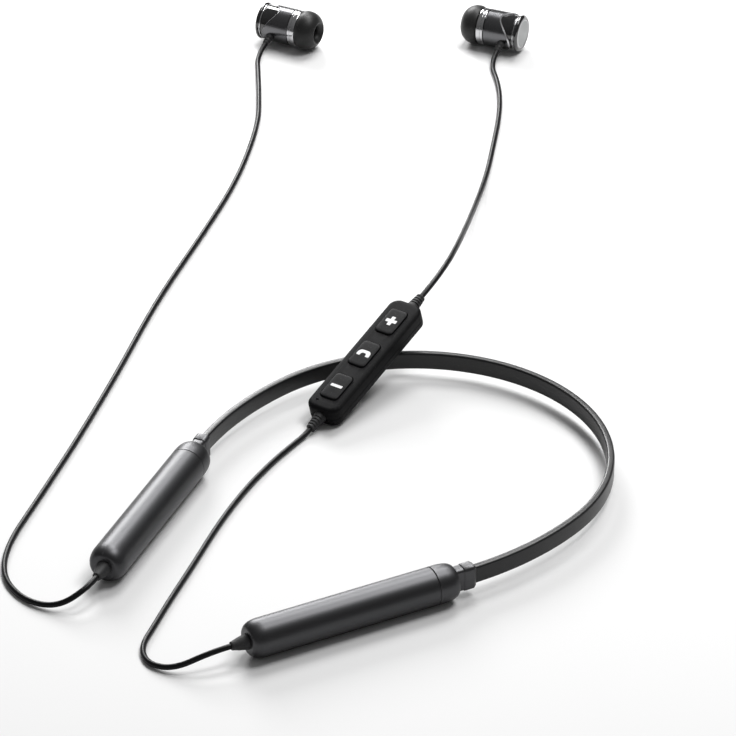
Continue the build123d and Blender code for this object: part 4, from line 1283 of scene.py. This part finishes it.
class NECKBAND_OT_ear_tips(bpy.types.Operator):
    """Build the silicone ear tips, each a dome folded back round its core with a flared mouth"""

    bl_idname = "neckband.ear_tips"
    bl_label = "Ear tips"

    def execute(self, context):
        buds = context.scene.neckband_buds
        core = buds.nozzle_radius + 0.05 * MM
        low = 0.3 * MM
        rim = buds.tip_radius
        front = buds.tip_front
        throat = (core, front - 2.4 * MM)
        lip_in = (3.75 * MM, front - 0.12 * MM)
        lip_out = (4.45 * MM, front - 0.22 * MM)
        widest = (rim, 2.0 * MM)
        wall = (core + 1.0 * MM, front - 1.9 * MM)
        line = [Vector((core, low))]
        line += curve_through(throat, (core + 0.05 * MM, front - 1.3 * MM), (3.1 * MM, front - 0.8 * MM), lip_in, 10)
        line += curve_through(lip_in, (3.9 * MM, front + 0.05 * MM), (4.2 * MM, front), lip_out, 6)[1:]
        line += curve_through(lip_out, (rim - 0.75 * MM, front - 1.25 * MM), (rim, 3.7 * MM), widest, 22)[1:]
        line += curve_through(widest, (rim, 1.3 * MM), (rim - 0.12 * MM, 0.8 * MM), (rim - 0.35 * MM, low), 10)[1:]
        skirt = (rim - 0.75 * MM, low)
        line += curve_through(skirt, (rim - 0.5 * MM, 2.6 * MM), (rim - 1.3 * MM, 4.2 * MM), wall, 14)
        line.append(Vector((core + 1.0 * MM, low)))
        profile = divided(line, 0.8 * MM)
        for side_name in SIDES:
            tip = turned(f"{side_name}_silicone_tip", profile, bud_frame(side_name), silicone(), steps=128, sharp=60.0)
            settle(tip, f"{side_name}_tip", "tip_silicone", f"{side_name}_ear_tip")
        return {"FINISHED"}


# ---------------------------------------------------------------- cords

CORD_HEIGHT = 0.9
# Each cord's route in millimetres, from gland to gland.
RIGHT_ROUTE = [
    (-27.69, -113.78, 6.0), (-25.47, -119.89, 6.0), (-29.5, -129.0, 1.8), (-41.0, -132.0, CORD_HEIGHT),
    (-55.0, -127.0, CORD_HEIGHT), (-66.5, -113.0, CORD_HEIGHT), (-77.0, -90.0, CORD_HEIGHT),
    (-93.0, -56.0, CORD_HEIGHT), (-112.5, -17.5, CORD_HEIGHT), (-135.0, 24.0, CORD_HEIGHT),
    (-155.0, 68.0, CORD_HEIGHT), (-172.0, 103.0, CORD_HEIGHT), (-193.5, 136.5, CORD_HEIGHT),
    (-208.0, 152.5, CORD_HEIGHT), (-220.5, 165.5, CORD_HEIGHT), (-229.6, 174.81, 0.91),
    (-231.04, 180.66, 3.34),
]
LOWER_LEFT_ROUTE = [
    (27.69, -113.78, 6.0), (25.47, -119.89, 6.0), (19.0, -129.0, 1.7), (10.5, -131.5, CORD_HEIGHT),
    (3.0, -126.5, CORD_HEIGHT), (-2.0, -115.5, CORD_HEIGHT), (-8.0, -102.5, CORD_HEIGHT),
    (-16.0, -84.0, CORD_HEIGHT), (-26.0, -62.0, CORD_HEIGHT), (-33.5, -42.0, CORD_HEIGHT),
    (-38.0, -25.0, CORD_HEIGHT), (-40.1, -13.0, CORD_HEIGHT), (-41.08, -6.32, 0.93),
    (-41.45, -3.28, 1.84),
]
UPPER_LEFT_ROUTE = [
    (-49.04, 58.56, 20.36), (-49.98, 66.18, 22.64), (-54.6, 78.6, 23.2), (-62.0, 91.3, 20.6),
    (-72.0, 106.4, 15.8), (-83.1, 122.6, 10.2), (-93.9, 138.3, 5.2), (-103.6, 153.0, 1.9),
    (-112.2, 166.3, CORD_HEIGHT), (-122.0, 180.5, CORD_HEIGHT), (-132.7, 195.9, CORD_HEIGHT),
    (-143.0, 208.8, CORD_HEIGHT), (-152.4, 218.2, CORD_HEIGHT), (-162.61, 226.4, 0.91),
    (-164.45, 232.13, 3.34),
]
# Each cord's route, its real length in metres, the arm of the pod it leaves, and from where to where it would bend
# with that arm.
CORDS = {
    "right_cord": (RIGHT_ROUTE, 0.3955, "right_arm", ((-125, 0), (-75, -95))),
    "lower_left_cord": (LOWER_LEFT_ROUTE, 0.1650, "left_arm", ((-36, -20), (0, -105))),
    "upper_left_cord": (UPPER_LEFT_ROUTE, 0.2130, None, None),
}


def cord_line(name, route):
    """Points along the smooth line of a cord's route."""
    data = bpy.data.curves.new(name, "CURVE")
    data.dimensions = "3D"
    data.resolution_u = 12
    spline = data.splines.new("NURBS")
    spline.points.add(len(route) - 1)
    for point, corner in zip(spline.points, route):
        point.co = (*[value * MM for value in corner], 1.0)
    spline.order_u = 3
    spline.use_endpoint_u = True
    curve = bpy.data.objects.new(name, data)
    bpy.context.scene.collection.objects.link(curve)
    mesh = bpy.data.meshes.new_from_object(curve)
    points = [vert.co.copy() for vert in mesh.vertices]
    bpy.data.meshes.remove(mesh)
    bpy.data.objects.remove(curve)
    bpy.data.curves.remove(data)
    return points


def cord_tube(name, points, cords):
    """A round jacket that follows a line, without twisting."""
    side = None
    line = []
    for index, point in enumerate(points):
        before = points[max(index - 1, 0)]
        after = points[min(index + 1, len(points) - 1)]
        heading = (after - before).normalized()
        side = heading.orthogonal() if side is None else side
        side = (side - heading * side.dot(heading)).normalized()
        line.append((point, heading, side, heading.cross(side)))
    return swept(name, line, circle(cords.diameter / 2, cords.sides), cord_jacket())


class NECKBAND_OT_cords(bpy.types.Operator):
    """Build the three cords between their glands, down on the floor but for their ends"""

    bl_idname = "neckband.cords"
    bl_label = "Cords"

    def execute(self, context):
        cords = context.scene.neckband_cords
        for node, (route, real_length, arm, stretch) in CORDS.items():
            self.lay(cords, node, route, real_length, arm, stretch)
        return {"FINISHED"}

    def lay(self, cords, node, route, real_length, arm, stretch):
        """One cord; a cord from a pod is baked where it lies, and the one without an arm goes on the neckband."""
        points = cord_line(f"{node}_line", route)
        tube = cord_tube(f"{node}_jacket", points, cords)
        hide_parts(node)
        if arm:
            start, end = ((x * MM, y * MM, CORD_HEIGHT * MM) for x, y in stretch)
            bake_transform(tube)
            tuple(start)
            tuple(end)
        else:
            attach(tube, "neckband")
        tuple(points[0])
        [tuple(point) for point in points]


# ---------------------------------------------------------------- inner parts and stage


class NECKBAND_OT_inner_parts(bpy.types.Operator):
    """Give the parts inside the pods, the remote and the earbuds their finishes"""

    bl_idname = "neckband.inner_parts"
    bl_label = "Inner parts"

    def execute(self, context):
        for make_finish, names in KEPT_PARTS.items():
            for name in names:
                for slot in frame["nodes"][name].material_slots:
                    slot.material = make_finish()
        return {"FINISHED"}


def point_at(thing, position, target):
    """Puts a light or a camera at a position, aimed at a target."""
    bpy.context.scene.collection.objects.link(thing)
    thing.location = position
    thing.rotation_euler = (Vector(target) - Vector(position)).to_track_quat("-Z", "Y").to_euler()


def soft_light(name, position, power):
    """A square soft box that points at the middle of the earphones."""
    side = 0.45
    target = (-0.05, 0.0, 0.0)
    data = bpy.data.lights.new(name, "AREA")
    data.size = side
    data.energy = power
    point_at(bpy.data.objects.new(name, data), position, target)


class NECKBAND_OT_stage(bpy.types.Operator):
    """Set up the pale floor, the soft studio light and the camera"""

    bl_idname = "neckband.stage"
    bl_label = "Stage"

    def execute(self, context):
        scene = context.scene
        scene.view_settings.view_transform = "Standard"
        self.floor()
        self.light(scene)
        self.camera(scene)
        return {"FINISHED"}

    def floor(self):
        """A wide round floor just under the cords."""
        reach = 9.0
        drop = 0.02 * MM
        edge = [(x, y, -drop) for x, y in circle(reach, 96)]
        paper = finish("Pale floor", tuple(colours().floor), 0.75, drift=(3.0, 0.05), tone=0.01)
        make_piece("floor", edge, [list(range(len(edge)))], paper)

    def light(self, scene):
        """A dim sky, brighter overhead, and three soft boxes on an arc from overhead to low behind the left."""
        world = bpy.data.worlds.new("Studio sky")
        scene.world = world
        world.use_nodes = True
        tree = world.node_tree
        direction = tree.nodes.new("ShaderNodeTexCoord")
        split = tree.nodes.new("ShaderNodeSeparateXYZ")
        tree.links.new(direction.outputs["Generated"], split.inputs[0])
        background = tree.nodes["Background"]
        background.inputs["Color"].default_value = (1, 1, 1, 1)
        strength = ramp(tree, split.outputs[2], -0.05, 0.9, low=0.10, high=0.22)
        tree.links.new(strength, background.inputs["Strength"])
        soft_light("overhead_box", (0.22, 0.45, 1.12), 7.5)
        soft_light("high_box", (-0.38, 0.66, 1.00), 9.5)
        soft_light("low_box", (-0.92, 0.62, 0.52), 10.5)

    def camera(self, scene):
        """The camera, at its viewing angle and distance."""
        data = bpy.data.cameras.new("camera")
        data.lens = 241.3
        data.sensor_width = 36.0
        data.clip_end = 50.0
        camera = bpy.data.objects.new("camera", data)
        point_at(camera, (0.85868, -0.98380, 0.82406), (-0.05477, 0.03920, 0.0))
        scene.camera = camera


class NECKBAND_PT_panel(bpy.types.Panel):
    """Lists the pieces of the earphones and their sizes"""

    bl_idname = "NECKBAND_PT_panel"
    bl_label = "Neckband Earphones"
    bl_space_type = "VIEW_3D"
    bl_region_type = "UI"
    bl_category = "Neckband"

    def draw(self, context):
        for operator in BUILD_ORDER:
            self.layout.operator(operator.bl_idname)
        for name, kind in SETTINGS.items():
            box = self.layout.box()
            box.label(text=kind.__doc__)
            values = getattr(context.scene, name)
            for key in kind.__annotations__:
                box.prop(values, key)


SETTINGS = {
    "neckband_band": BandSizes,
    "neckband_pods": PodSizes,
    "neckband_remote": RemoteSizes,
    "neckband_buds": BudSizes,
    "neckband_cords": CordSizes,
    "neckband_finishes": Finishes,
}
BUILD_ORDER = [
    NECKBAND_OT_stage,
    NECKBAND_OT_cords,
    NECKBAND_OT_band,
    NECKBAND_OT_pods,
    NECKBAND_OT_port_cover,
    NECKBAND_OT_remote,
    NECKBAND_OT_buttons,
    NECKBAND_OT_earbuds,
    NECKBAND_OT_ear_tips,
    NECKBAND_OT_inner_parts,
]


def register():
    """Registers the settings, the operators and the panel."""
    for name, kind in SETTINGS.items():
        bpy.utils.register_class(kind)
        setattr(bpy.types.Scene, name, PointerProperty(type=kind))
    for kind in (*BUILD_ORDER, NECKBAND_PT_panel):
        bpy.utils.register_class(kind)


def unregister():
    """Removes what register added."""
    for kind in (NECKBAND_PT_panel, *reversed(BUILD_ORDER)):
        bpy.utils.unregister_class(kind)
    for name, kind in reversed(SETTINGS.items()):
        delattr(bpy.types.Scene, name)
        bpy.utils.unregister_class(kind)


def main():
    """Builds every piece in order."""
    register()
    for operator in BUILD_ORDER:
        family, name = operator.bl_idname.split(".")
        getattr(getattr(bpy.ops, family), name)()


if __name__ == "__main__":
    main()
